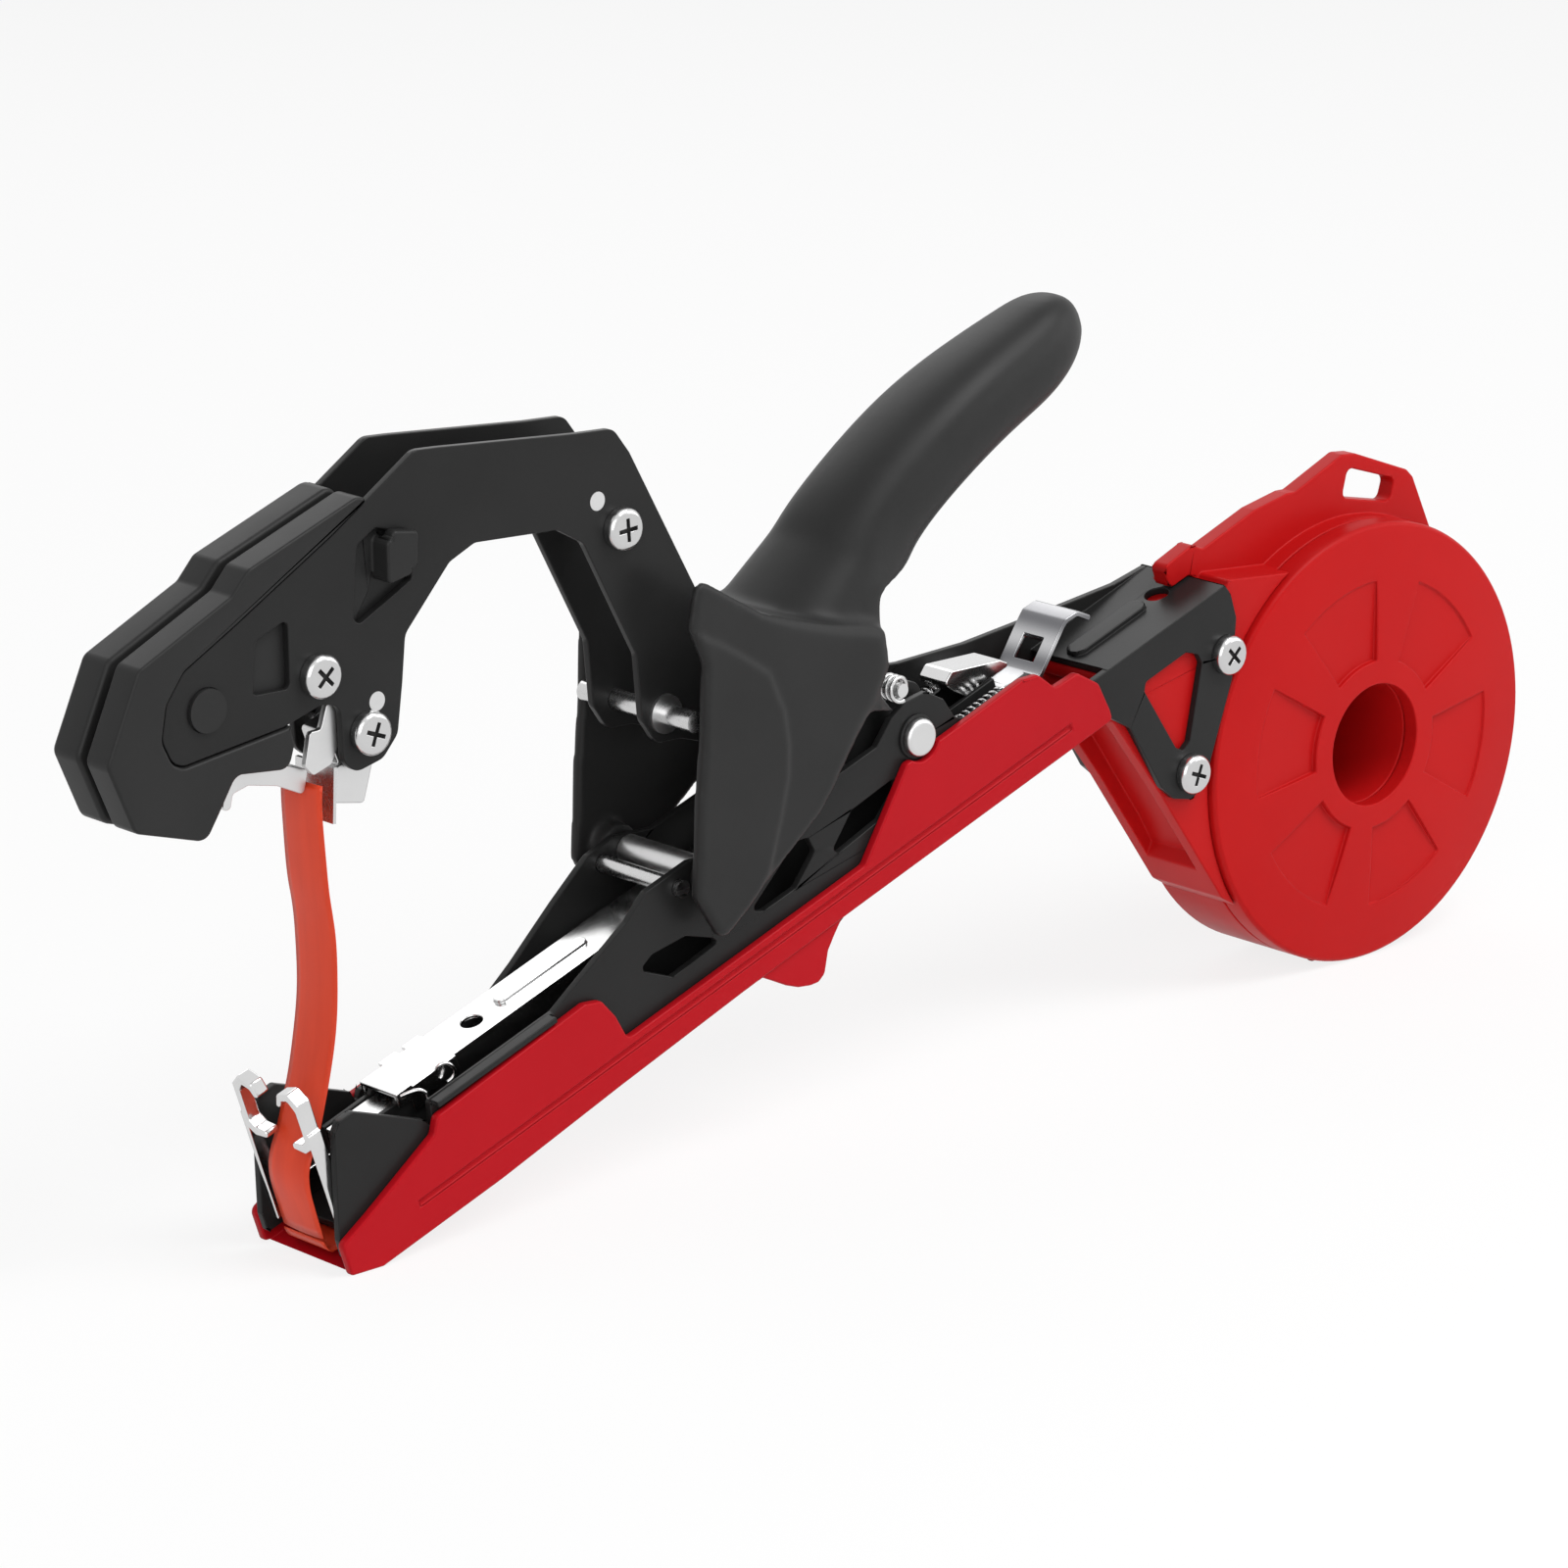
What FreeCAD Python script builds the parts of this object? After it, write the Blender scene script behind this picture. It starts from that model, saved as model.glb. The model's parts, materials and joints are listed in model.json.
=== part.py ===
import FreeCAD, Part

import math
import os
import re
from types import SimpleNamespace

import Sketcher

# Plant tying tool: a long channel body with a tape reel at its tail, a squeeze handle
# and a swinging upper jaw. Every piece is drawn with the body level (X along it, Z up
# from it, the near side at -Y) and is then tilted about Y, so that the tool stands on
# the sole of its nose and the rim of its reel case.

# Every settable size, in millimetres
LENGTHS = {
    # body channel
    "frame_length": 234.0,
    "frame_height": 29.0,
    "frame_half_width": 11.0,
    "frame_sheet": 1.5,
    "frame_web_start": 6.0,
    "frame_web_inset": 46.0,
    "frame_corner": 0.8,
    "top_plate_level": 8.5,
    "top_hole_radius": 2.4,
    "top_rib_half_width": 2.2,
    "top_rib_rise": 0.9,
    "lip_level": 18.1,
    "lip_sheet": 1.1,
    "lip_reach": 12.6,
    # bottom cover
    "cover_start": -0.6,
    "cover_bottom": -2.0,
    "cover_inset": 37.6,
    "cover_height": 21.5,
    "cover_wall": 1.9,
    "cover_floor": 2.0,
    "cover_rear_floor": 1.1,
    "cover_groove_level": 3.6,
    "cover_groove_height": 1.2,
    "cover_groove_depth": 0.5,
    "cover_groove_start": 17.0,
    "cover_groove_inset": 10.4,
    "cover_corner": 1.6,
    "cover_far_level": 14.8,
    "cover_far_reach": 76.0,
    "finger_bump_length": 26.0,
    "finger_bump_depth": 8.2,
    "finger_bump_half_width": 12.2,
    "sole_length": 7.0,
    # reel case
    "neck_inset": 35.4,
    "case_radius": 44.2,
    "case_wall": 2.0,
    "case_half_width": 11.0,
    "neck_half_width": 9.5,
    "neck_channel_half_width": 6.5,
    "neck_corner": 2.0,
    "lid_seam": 5.7,
    "lid_seam_gap": 0.3,
    "lid_rim_face": 10.9,
    "lid_crown_face": 12.4,
    "lid_sheet": 2.2,
    "lid_round": 0.8,
    "lid_hub_face": 9.1,
    "case_hub_face": 8.8,
    "hub_hole_radius": 12.2,
    "hub_wall": 1.6,
    "spoke_inner_radius": 17.0,
    "spoke_outer_radius": 33.0,
    "spoke_floor": 11.3,
    "far_spoke_depth": 0.8,
    "lug_half_width": 1.8,
    "lug_corner": 1.5,
    "lid_pin_radius": 0.8,
    "lid_knuckle_radius": 1.7,
    "lid_knuckle_length": 7.0,
    "lid_knuckle_lift": 2.0,
    "lid_knuckle_gap": 0.3,
    "lid_knuckle_notch": 2.4,
    # tape
    "tape_width": 11.0,
    "tape_sheet": 0.3,
    "roll_gap": 4.2,
    "tape_web_gap": 1.04,
    "core_wall": 2.2,
    "core_clearance": 0.3,
    "tape_bend": 1.6,
    "tape_sweep": 14.0,
    "tape_start_forward": 0.6,
    "tape_front_bend": 2.2,
    "guide_pin_radius": 2.0,
    # magazine
    "rail_start": 13.0,
    "rail_inset": 10.0,
    "rail_front_top": 18.2,
    "rail_low_top": 17.4,
    "rail_low_lead": 8.0,
    "rail_step": 1.5,
    "rail_end_wall": 2.0,
    "rail_ledge": 12.5,
    "rail_channel_half_width": 2.3,
    "rail_half_width": 4.0,
    "rail_sheet": 1.0,
    "mag_cover_start": 24.0,
    "mag_cover_gap": 1.0,
    "mag_cover_level": 20.4,
    "mag_cover_sheet": 0.8,
    "mag_cover_half_width": 5.0,
    "mag_cover_side": 5.4,
    "mag_cover_corner": 3.0,
    "mag_bead_start": 53.0,
    "mag_bead_end": 75.0,
    "mag_bead_half_width": 1.4,
    "mag_bead_rise": 0.7,
    "mag_hole_position": 46.9,
    "mag_hole_radius": 2.05,
    "staple_start": 13.2,
    "staple_stack_length": 48.0,
    "staple_half_width": 2.7,
    "staple_leg": 5.4,
    "staple_wire": 0.5,
    "pusher_length": 10.0,
    "pusher_clearance": 0.2,
    "pusher_foot": 7.0,
    "pusher_foot_half_width": 2.0,
    "rod_height": 9.2,
    "rod_radius": 1.1,
    "spring_bore": 1.4,
    "spring_radius": 1.9,
    "driver_sheet": 0.8,
    "driver_start": 10.2,
    "driver_top": 12.3,
    "driver_half_width": 2.6,
    # tape catcher on the nose
    "claw_start": 1.8,
    "claw_depth": 3.0,
    "claw_side": 9.0,
    "claw_width": 6.5,
    "claw_level": 22.5,
    "claw_height": 12.5,
    "claw_corner": 0.6,
    "catcher_inner": 8.6,
    "catcher_top": 27.0,
    "catcher_plate_length": 16.0,
    "catcher_plate_top": 9.0,
    # handle
    "handle_length": 125.0,
    "handle_rise": 57.0,
    "handle_half_width": 17.4,
    "handle_wall": 2.3,
    "handle_corner": 2.0,
    "pivot_pin_radius": 2.0,
    "pivot_boss_radius": 4.2,
    "pivot_boss_face": 11.3,
    "pivot_pin_end": 13.6,
    "pivot_bore_end": 13.9,
    "pivot_sleeve_end": 9.4,
    "pivot_sleeve_radius": 2.9,
    "running_clearance": 0.05,
    "stop_pin_radius": 1.6,
    "stop_pin_end": 12.2,
    # swinging arm
    "arm_reach": 150.0,
    "arm_rise": 105.0,
    "arm_half_width": 6.75,
    "arm_far_half_width": 7.75,
    "arm_sheet": 1.5,
    "arm_corner": 3.0,
    "arm_window_corner": 1.0,
    "rivet_radius": 2.6,
    "rivet_head_radius": 3.6,
    "rivet_head_height": 1.6,
    "rivet_head_round": 0.9,
    "rivet_collar_radius": 4.2,
    "rivet_notch_radius": 4.5,
    "rivet_collar_height": 0.5,
    "rivet_bush_radius": 3.4,
    "rivet_washer_radius": 4.2,
    "link_pin_radius": 1.9,
    "link_pin_end": 14.8,
    "link_clip_radius": 3.6,
    "link_clip_sheet": 0.6,
    "head_half_width": 7.25,
    "head_far_half_width": 8.25,
    "head_slit_half_width": 1.0,
    "head_corner": 2.5,
    "head_pocket_gap": 0.3,
    "button_height": 2.6,
    "plug_radius": 3.8,
    "plug_rise": 0.65,
    "dowel_radius": 1.7,
    # screws
    "screw_radius": 2.0,
    "screw_head_radius": 3.9,
    "screw_head_height": 2.4,
    "screw_head_round": 1.1,
    "screw_slot_reach": 2.1,
    "screw_slot_half_width": 0.35,
    "screw_slot_depth": 0.9,
    "nut_radius": 3.9,
    "nut_height": 2.2,
    "spacer_radius": 3.4,
    # chrome parts of the jaw
    "clincher_half_width": 2.8,
    "clincher_corner": 0.8,
    "gripper_far": 4.0,
    "gripper_near": 5.2,
    "gripper_corner": 0.8,
    "gripper_pin_radius": 1.1,
    "gripper_pin_inner": 3.4,
    "gripper_pin_depth": 0.75,
    "blade_holder_half_width": 4.4,
    "blade_tongue_half_width": 3.8,
    "blade_half_width": 5.2,
    "blade_corner": 0.8,
    # latch and springs at the magazine's tail
    "latch_boss_radius": 2.0,
    "latch_half_width": 5.7,
    "latch_lead": 4.5,
    "latch_rise": 9.0,
    "latch_corner": 1.4,
    "latch_window_half_width": 2.6,
    "latch_pin_radius": 1.0,
    "lever_inset": 11.5,
    "lever_length": 17.0,
    "lever_rise": 6.6,
    "lever_half_width": 3.6,
    "lever_corner": 1.0,
    "latch_spring_inset": 12.5,
    "latch_spring_pitch": 1.5,
    "latch_spring_height": 15.6,
    "latch_spring_side": 7.0,
    "latch_spring_radius": 1.5,
    "latch_spring_wire": 0.6,
    "latch_spring_hook": 3.0,
    "spring_post_back": 0.8,
    "spring_post_lift": 10.4,
    "spring_post_radius": 1.3,
    "spring_post_end": 11.9,
    "return_spring_near": 11.35,
    "return_spring_pitch": 1.3,
    "return_spring_radius": 2.2,
    "return_spring_wire": 0.8,
    "return_spring_leg": 9.0,
    "cut_overrun": 2.0,
}

# Counts and angles, which keep their values when the lengths are scaled
SPOKES = 6
SPOKE_HALF_ANGLE = 19.0
LATCH_SPRING_TURNS = 7
RETURN_SPRING_TURNS = 3
GRIP_POINTS = 16
GRIP_SQUARENESS = 2.6
SCREW_TURN = 25.0

doc = FreeCAD.newDocument("plant_tying_tool")
sheet = doc.addObject("Spreadsheet::Sheet", "Sizes")
for row, (alias, length) in enumerate(LENGTHS.items(), start=1):
    sheet.set(f"A{row}", alias)
    sheet.set(f"B{row}", str(length))
    sheet.setAlias(f"B{row}", alias)
doc.recompute()
s = SimpleNamespace(**{alias: float(sheet.get(alias)) for alias in LENGTHS})


# Outlines in the side view, as shares of the sizes they follow
FRAME_FRONT_SHARES = [
    (0.001, 0.086), (0.001, 0.221), (0.026, 0.876), (0.032, 0.928), (0.047, 0.928), (0.105, 0.572),
    (0.108, 0.469), (0.113, 0.662), (0.242, 0.662), (0.330, 0.883), (0.355, 0.986), (0.402, 0.986),
    (0.440, 0.869), (0.605, 0.862), (0.626, 0.972), (0.644, 1.014),
]
FRAME_NEAR_BACK_SHARES = [(0.667, 0.986), (0.682, 0.862), (0.688, 0.707), (0.699, 0.631), (0.774, 0.631), (0.803, 0.293)]
FRAME_FAR_BACK_SHARES = [(0.667, 0.986), (0.688, 0.910), (0.718, 0.807), (0.789, 0.631), (0.891, 0.441), (0.957, 0.324)]
FRAME_FAR_FRONT_SHARES = [
    (-0.002, 0.086), (-0.002, 0.221), (0.023, 0.890), (0.029, 0.935), (0.045, 0.935), (0.105, 0.572),
    (0.108, 0.469), (0.113, 0.540), (0.247, 0.540), (0.281, 0.647), (0.306, 0.740), (0.332, 0.835),
    (0.362, 0.935), (0.375, 0.975), (0.402, 0.986), (0.440, 0.869), (0.605, 0.862), (0.626, 0.972), (0.644, 1.014),
]
LIP_SHARES = (0.115, 0.239)
FRAME_SLOT_SHARES = [
    [(0.329, 0.538), (0.344, 0.583), (0.379, 0.548), (0.403, 0.417), (0.407, 0.366), (0.357, 0.355)],
    [(0.445, 0.410), (0.504, 0.638), (0.517, 0.610), (0.520, 0.490), (0.493, 0.352), (0.457, 0.355)],
    [(0.537, 0.424), (0.565, 0.583), (0.614, 0.593), (0.614, 0.514), (0.589, 0.397), (0.542, 0.376)],
]
HANDLE_PIVOT_SHARE = (0.4124, 0.8448)
STOP_PIN_SHARE = (0.3855, 0.8724)
ARM_PIVOT_SHARE = (0.6453, 0.7586)
LATCH_PIN_SHARE = 0.3655
COVER_SHARES = [
    (0.000, 0.000), (0.000, 0.400), (0.035, 0.488), (0.125, 0.753), (0.134, 0.884), (0.320, 0.926),
    (0.338, 0.856), (0.348, 0.651), (0.354, 0.391), (0.665, 0.391), (0.744, 0.986), (0.904, 0.995),
    (0.924, 0.940), (0.940, 0.726), (0.971, 0.712), (0.993, 0.493), (0.999, 0.186), (0.999, 0.088),
    (0.640, 0.088), (0.490, 0.078), (0.330, 0.046), (0.180, 0.000),
]
COVER_FLOOR_SHARES = (0.180, 0.640)
COVER_REAR_BOTTOM_SHARE = 0.088
BUMP_START_SHARE = 0.508
BUMP_SHARES = [
    (0.000, 0.330), (0.000, 0.250), (0.092, 0.134), (0.181, -0.141), (0.269, -0.417), (0.365, -0.652),
    (0.465, -0.800), (0.542, -0.860), (0.615, -0.768), (0.700, -0.310), (0.785, -0.080), (0.865, 0.115),
    (0.962, 0.230), (1.000, 0.330),
]
# About the reel's axis, as shares of the case's radius
NECK_SHARES = [
    (-1.396, 1.1266), (-0.580, 1.1266), (-0.560, 1.148), (-0.324, 1.041), (0.000, 0.900), (-0.600, 0.000),
    (-0.930, -0.330), (-1.030, -0.214), (-1.228, 0.441), (-1.387, 0.900),
]
FRAME_EAR_SHARES = [
    (-0.616, 1.1606), (-0.595, 1.104), (-0.595, 0.987), (-0.701, 0.735), (-0.929, 0.457), (-0.987, 0.367),
    (-1.093, 0.344), (-1.188, 0.403), (-1.241, 0.489), (-1.331, 0.844), (-1.437, 0.964), (-1.442, 1.025),
]
EAR_WINDOW_SHARES = [
    (-1.204, 0.957), (-1.183, 0.993), (-0.923, 0.993), (-0.860, 0.948), (-0.849, 0.898), (-1.024, 0.600),
    (-1.072, 0.581), (-1.109, 0.620),
]
EAR_SCREW_SHARES = [(-0.706, 0.864), (-1.066, 0.466)]
GUIDE_PIN_SHARE = -1.274
TOP_PLATE_SHARES = (-1.376, -0.618)
TOP_RIB_SHARES = (-1.342, -0.889)
TOP_HOLE_SHARE = -0.792
NECK_PASSAGE_SHARES = [
    (-1.600, 1.072), (-0.720, 1.072), (-0.400, 0.930), (-0.100, 0.900), (-0.620, 0.620), (-1.000, 0.860), (-1.600, 0.860),
]
NECK_GROOVE_SHARES = [
    (-1.600, 0.870), (-1.280, 0.870), (-1.152, 0.434), (-1.070, 0.160), (-1.035, 0.000), (-1.090, -0.060),
    (-1.600, -0.060),
]
LUG_SHARES = [
    (-0.751, 1.278), (-0.751, 1.168), (-0.600, 1.168), (-0.600, 1.080), (-0.300, 0.980), (0.000, 0.900),
    (0.500, 0.750), (0.700, 0.450), (0.855, 0.520), (0.809, 0.889), (0.783, 0.938), (0.500, 1.172),
    (0.420, 1.210), (0.097, 1.195), (0.050, 1.213), (-0.163, 1.244), (-0.507, 1.238), (-0.559, 1.287),
]
LUG_WINDOW_SHARES = [(0.360, 1.020), (0.436, 1.135), (0.695, 0.940), (0.632, 0.855)]
ARM_SHARES = [
    (-1.001, 0.806), (-0.981, 0.856), (-0.947, 0.889), (-0.869, 0.907), (-0.705, 0.950), (-0.565, 0.999),
    (-0.533, 0.980), (-0.345, 0.861), (-0.290, 0.829), (-0.277, 0.775), (-0.241, 0.500), (-0.224, 0.376),
    (-0.173, 0.295), (0.047, 0.062), (0.053, 0.000), (0.033, -0.065), (-0.020, -0.074), (-0.067, -0.019),
    (-0.320, 0.250), (-0.357, 0.270), (-0.368, 0.324), (-0.349, 0.438), (-0.366, 0.583), (-0.377, 0.678),
    (-0.407, 0.726), (-0.523, 0.793), (-0.564, 0.789), (-0.651, 0.722), (-0.674, 0.650), (-0.701, 0.573),
    (-0.730, 0.550), (-0.770, 0.556), (-0.783, 0.585), (-0.764, 0.678), (-0.787, 0.699), (-0.843, 0.703),
    (-0.985, 0.746), (-0.997, 0.762),
]
ARM_WINDOW_SHARES = [
    [(-0.712, 0.800), (-0.678, 0.910), (-0.647, 0.919), (-0.603, 0.872), (-0.621, 0.802), (-0.707, 0.785)],
    [(-0.871, 0.784), (-0.845, 0.865), (-0.796, 0.867), (-0.821, 0.757)],
]
ARM_SCREW_SHARES = [(-0.781, 0.750), (-0.740, 0.609), (-0.321, 0.663)]
ARM_DOWEL_SHARES = [(-0.341, 0.730), (-0.715, 0.647)]
LINK_PIN_SHARE = (-0.333, 0.310)
PLUG_SHARE = (-0.934, 0.809)
HEAD_SHARES = [
    (-0.653, 0.987), (-0.827, 0.983), (-0.858, 0.959), (-1.003, 0.938), (-1.080, 0.822), (-1.073, 0.694),
    (-0.989, 0.608), (-0.959, 0.641), (-0.925, 0.680), (-0.856, 0.634), (-0.839, 0.667), (-0.836, 0.705),
    (-0.767, 0.710), (-0.733, 0.752), (-0.673, 0.819), (-0.633, 0.914),
]
STEM_SHARES = [(-0.665, 0.830), (-0.648, 0.903), (-0.619, 0.876), (-0.628, 0.822)]
BUTTON_SHARES = [(-0.638, 0.911), (-0.603, 0.884), (-0.619, 0.826), (-0.653, 0.853)]
CLINCHER_SHARES = [
    (-0.939, 0.615), (-0.919, 0.664), (-0.843, 0.622), (-0.814, 0.590), (-0.830, 0.554), (-0.860, 0.596),
    (-0.896, 0.627), (-0.919, 0.630), (-0.929, 0.607),
]
CLINCHER_TONGUE_SHARES = [(-0.913, 0.640), (-0.860, 0.615), (-0.847, 0.720), (-0.907, 0.740)]
GRIPPER_SHARES = [
    (-0.733, 0.690), (-0.730, 0.652), (-0.758, 0.638), (-0.792, 0.587), (-0.820, 0.588), (-0.827, 0.611),
    (-0.807, 0.659), (-0.792, 0.652), (-0.775, 0.684), (-0.753, 0.700),
]
GRIPPER_PIN_SHARE = (-0.747, 0.670)
BLADE_HOLDER_SHARES = [(-0.788, 0.573), (-0.718, 0.573), (-0.730, 0.552), (-0.763, 0.486), (-0.803, 0.519)]
BLADE_TONGUE_SHARES = [(-0.779, 0.629), (-0.705, 0.629), (-0.700, 0.560), (-0.778, 0.560)]
BLADE_SHARES = [(-0.7913, 0.579), (-0.787, 0.5771), (-0.8033, 0.5181), (-0.8113, 0.4886), (-0.8153, 0.4914), (-0.8073, 0.52)]
# Front view of a tape claw: across and up
CLAW_SHARES = [
    (0.00, 0.72), (0.16, 0.92), (0.66, 1.00), (1.00, 0.84), (1.00, 0.12), (0.66, 0.00), (0.16, 0.02), (0.16, 0.12),
    (0.58, 0.14), (0.79, 0.24), (0.79, 0.72), (0.58, 0.86), (0.28, 0.82), (0.15, 0.70),
]
WING_SHARES = [
    (0.099, 0.975), (0.191, 0.738), (0.250, 0.640), (0.330, 0.520), (0.405, 0.420), (0.398, 0.353),
    (0.395, 0.290), (0.358, 0.223), (0.256, 0.079), (0.197, -0.001), (0.068, -0.100), (-0.037, -0.177),
    (-0.060, 0.011), (-0.008, 0.299), (0.033, 0.496), (0.069, 0.708), (0.063, 0.833),
]
HANDLE_CAVITY_SHARES = [
    (-0.132, 1.325), (0.124, 1.149), (0.200, 0.763), (0.216, 0.640), (0.260, 0.561), (0.356, 0.518),
    (0.508, 0.491), (0.572, 0.377), (0.588, -0.430), (-0.212, -0.430),
]
# Sections of the grip: place along and up, turn of the axis in degrees, half height and half width
GRIP_SECTION_SHARES = [
    (0.365, 0.360, 48, 0.232, 0.810),
    (0.449, 0.563, 38, 0.193, 0.747),
    (0.538, 0.675, 22, 0.175, 0.655),
    (0.668, 0.756, 6, 0.167, 0.638),
    (0.804, 0.795, 3, 0.158, 0.575),
    (0.895, 0.812, 3, 0.146, 0.511),
    (0.955, 0.835, 3, 0.114, 0.391),
    (0.985, 0.839, 3, 0.070, 0.230),
]
LATCH_SHARES = [
    (0.000, 0.200), (0.567, 0.289), (1.433, 0.933), (1.600, 1.044), (1.989, 1.033), (2.322, 0.733), (2.233, 0.644),
    (1.944, 0.922), (1.644, 0.933), (1.522, 0.867), (0.611, 0.178), (0.000, 0.067),
]
LATCH_WINDOW_SHARES = (0.75, 1.20)
LEVER_SHARES = [(0.000, 0.750), (0.150, 1.000), (0.850, 0.350), (1.000, 0.000), (0.250, 0.000), (0.100, 0.400)]
# Centre line of the free tape, from the nose up to the jaw
# as shares of the way from the nose to the tape's end under the jaw
TAPE_SPAN_SHARES = [
    (0.000, 0.048), (0.011, 0.148), (0.058, 0.182), (0.180, 0.216), (0.386, 0.297), (0.603, 0.405),
    (0.746, 0.520), (0.804, 0.606), (0.947, 0.752), (1.000, 0.779),
]
TAPE_END_SHARES = (-0.8137, 0.5695)
# Where the hidden tape leaves the roll, as a share of the roll's radius, and how it turns up in the nose
TAPE_ROLL_SHARE = (-0.113, 1.010)
TAPE_TURN_SHARES = (0.090, 0.160)
LID_TONGUE_SHARES = [(-0.20, 0.94), (-2.10, 2.20), (-2.80, 2.20), (-2.80, 1.20), (-0.45, -0.76)]


# Shared ways of drawing
def scaled(shares, start, length, height):
    """Points of an outline given as shares, from a start point, in millimetres."""
    return [(start[0] + x * length, start[1] + z * height) for x, z in shares]


def ring(points, radius=0.0):
    """Edges of a closed outline whose corners are arcs, as large as the radius and the sides allow."""
    count = len(points)
    corners = []
    for i, point in enumerate(points):
        here = FreeCAD.Vector(point[0], point[1], 0)
        before = FreeCAD.Vector(*points[i - 1], 0) - here
        after = FreeCAD.Vector(*points[(i + 1) % count], 0) - here
        half = before.getAngle(after) / 2
        limit = 0.45 * min(before.Length, after.Length)
        reach = min(radius / math.tan(half), limit) if radius > 0 and half < 0.49 * math.pi else 0.0
        start = here + before.normalize() * reach
        end = here + after.normalize() * reach
        if reach > 0:
            centre_distance = reach / math.cos(half)
            bisector = (before + after).normalize()
            middle = here + bisector * (centre_distance - reach * math.tan(half))
            corners.append((start, middle, end))
        else:
            corners.append((here, None, here))
    edges = []
    for i, (start, middle, end) in enumerate(corners):
        if middle is not None:
            edges.append(Part.Arc(start, middle, end))
        edges.append(Part.LineSegment(end, corners[(i + 1) % count][0]))
    return edges


def grown(points, gap):
    """A closed outline moved outward by a gap, corner by corner."""
    area = sum(a[0] * b[1] - b[0] * a[1] for a, b in zip(points, points[1:] + points[:1]))
    outward = 1.0 if area > 0 else -1.0
    moved = []
    for i, point in enumerate(points):
        before = FreeCAD.Vector(point[0] - points[i - 1][0], point[1] - points[i - 1][1], 0).normalize()
        following = points[(i + 1) % len(points)]
        after = FreeCAD.Vector(following[0] - point[0], following[1] - point[1], 0).normalize()
        normal = FreeCAD.Vector(before.y + after.y, -before.x - after.x, 0).normalize() * outward
        stretch = max(normal.dot(FreeCAD.Vector(before.y, -before.x, 0) * outward), 0.5)
        moved.append((point[0] + normal.x * gap / stretch, point[1] + normal.y * gap / stretch))
    return moved


def bound(expression):
    """An expression on the sheet's cells, from one written with their plain names."""
    return re.sub(r"[a-z][a-z_]*", lambda word: "Sizes." + word.group() if word.group() in LENGTHS else word.group(), expression)


def new_body(label):
    body = doc.addObject("PartDesign::Body", label)
    body.Label = label
    return body


def sketch_on(body, role, loops, circles, level):
    """A sketch at a level along X, Y or Z, with closed loops and with circles whose radii follow the sheet."""
    sketch = body.newObject("Sketcher::SketchObject", body.Label + "_sketch")
    sketch.AttachmentSupport = [(next(item for item in body.Origin.OriginFeatures if item.Role == role), "")]
    sketch.MapMode = "FlatFace"
    sketch.setExpression("AttachmentOffset.Base.z", bound(f"-({level})" if role == "XZ_Plane" else level))
    for loop in loops:
        sketch.addGeometry(loop, False)
    for x, z, radius in circles:
        start = LENGTHS[re.match(r"[a-z][a-z_]*", radius).group()]
        index = sketch.addGeometry(Part.Circle(FreeCAD.Vector(x, z, 0), FreeCAD.Vector(0, 0, 1), start), False)
        rule = sketch.addConstraint(Sketcher.Constraint("Radius", index, start))
        sketch.setExpression(f"Constraints[{rule}]", bound(radius))
    return sketch


def layer(body, role, loops, circles, low, high):
    """A flat layer of the body between two levels along X (YZ_Plane), Y (XZ_Plane) or Z (XY_Plane)."""
    sketch = sketch_on(body, role, loops, circles, low)
    pad = body.newObject("PartDesign::Pad", body.Label + "_layer")
    pad.Profile = sketch
    pad.Reversed = role == "XZ_Plane"
    pad.setExpression("Length", bound(f"({high}) - ({low})"))
    doc.recompute()
    return pad


def cut(body, role, loops, circles, low, high):
    """A cut through the body between two levels; it must take something away."""
    before = body.Shape.Volume
    sketch = sketch_on(body, role, loops, circles, low)
    pocket = body.newObject("PartDesign::Pocket", body.Label + "_cut")
    pocket.Profile = sketch
    pocket.Reversed = role != "XZ_Plane"
    pocket.setExpression("Length", bound(f"({high}) - ({low})"))
    doc.recompute()
    assert body.Shape.Volume < before, body.Label
    return pocket


def box(x_low, x_high, z_low, z_high):
    """The corners of an upright rectangle."""
    return [(x_low, z_low), (x_high, z_low), (x_high, z_high), (x_low, z_high)]


def plane_edges(shape, level, axis="y"):
    """Names of the edges that lie wholly in one flat level."""
    names = []
    for number, edge in enumerate(shape.Edges, start=1):
        bounds = edge.BoundBox
        low, high = (bounds.YMin, bounds.YMax) if axis == "y" else (bounds.ZMin, bounds.ZMax)
        if abs(low - level) < 1e-6 and abs(high - level) < 1e-6:
            names.append(f"Edge{number}")
    return names


def dress(body, kind, names, size):
    """A fillet or chamfer along named edges of the body's tip."""
    feature = body.newObject("PartDesign::" + kind, body.Label + "_" + kind.lower())
    feature.Base = (body.Tip if feature != body.Tip else feature.BaseFeature, names)
    feature.setExpression("Radius" if kind == "Fillet" else "Size", bound(size))
    doc.recompute()
    return feature


# Places that several pieces share
PIVOT_SHARES = [HANDLE_PIVOT_SHARE, STOP_PIN_SHARE, ARM_PIVOT_SHARE]
HANDLE_PIVOT, STOP_PIN, ARM_PIVOT = scaled(PIVOT_SHARES, (0, 0), s.frame_length, s.frame_height)
SPRING_POST = (ARM_PIVOT[0] - s.spring_post_back, ARM_PIVOT[1] + s.spring_post_lift)
WEB_LEVEL = s.frame_height * FRAME_FRONT_SHARES[0][1]
WEB_TOP = WEB_LEVEL + s.frame_sheet
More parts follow.
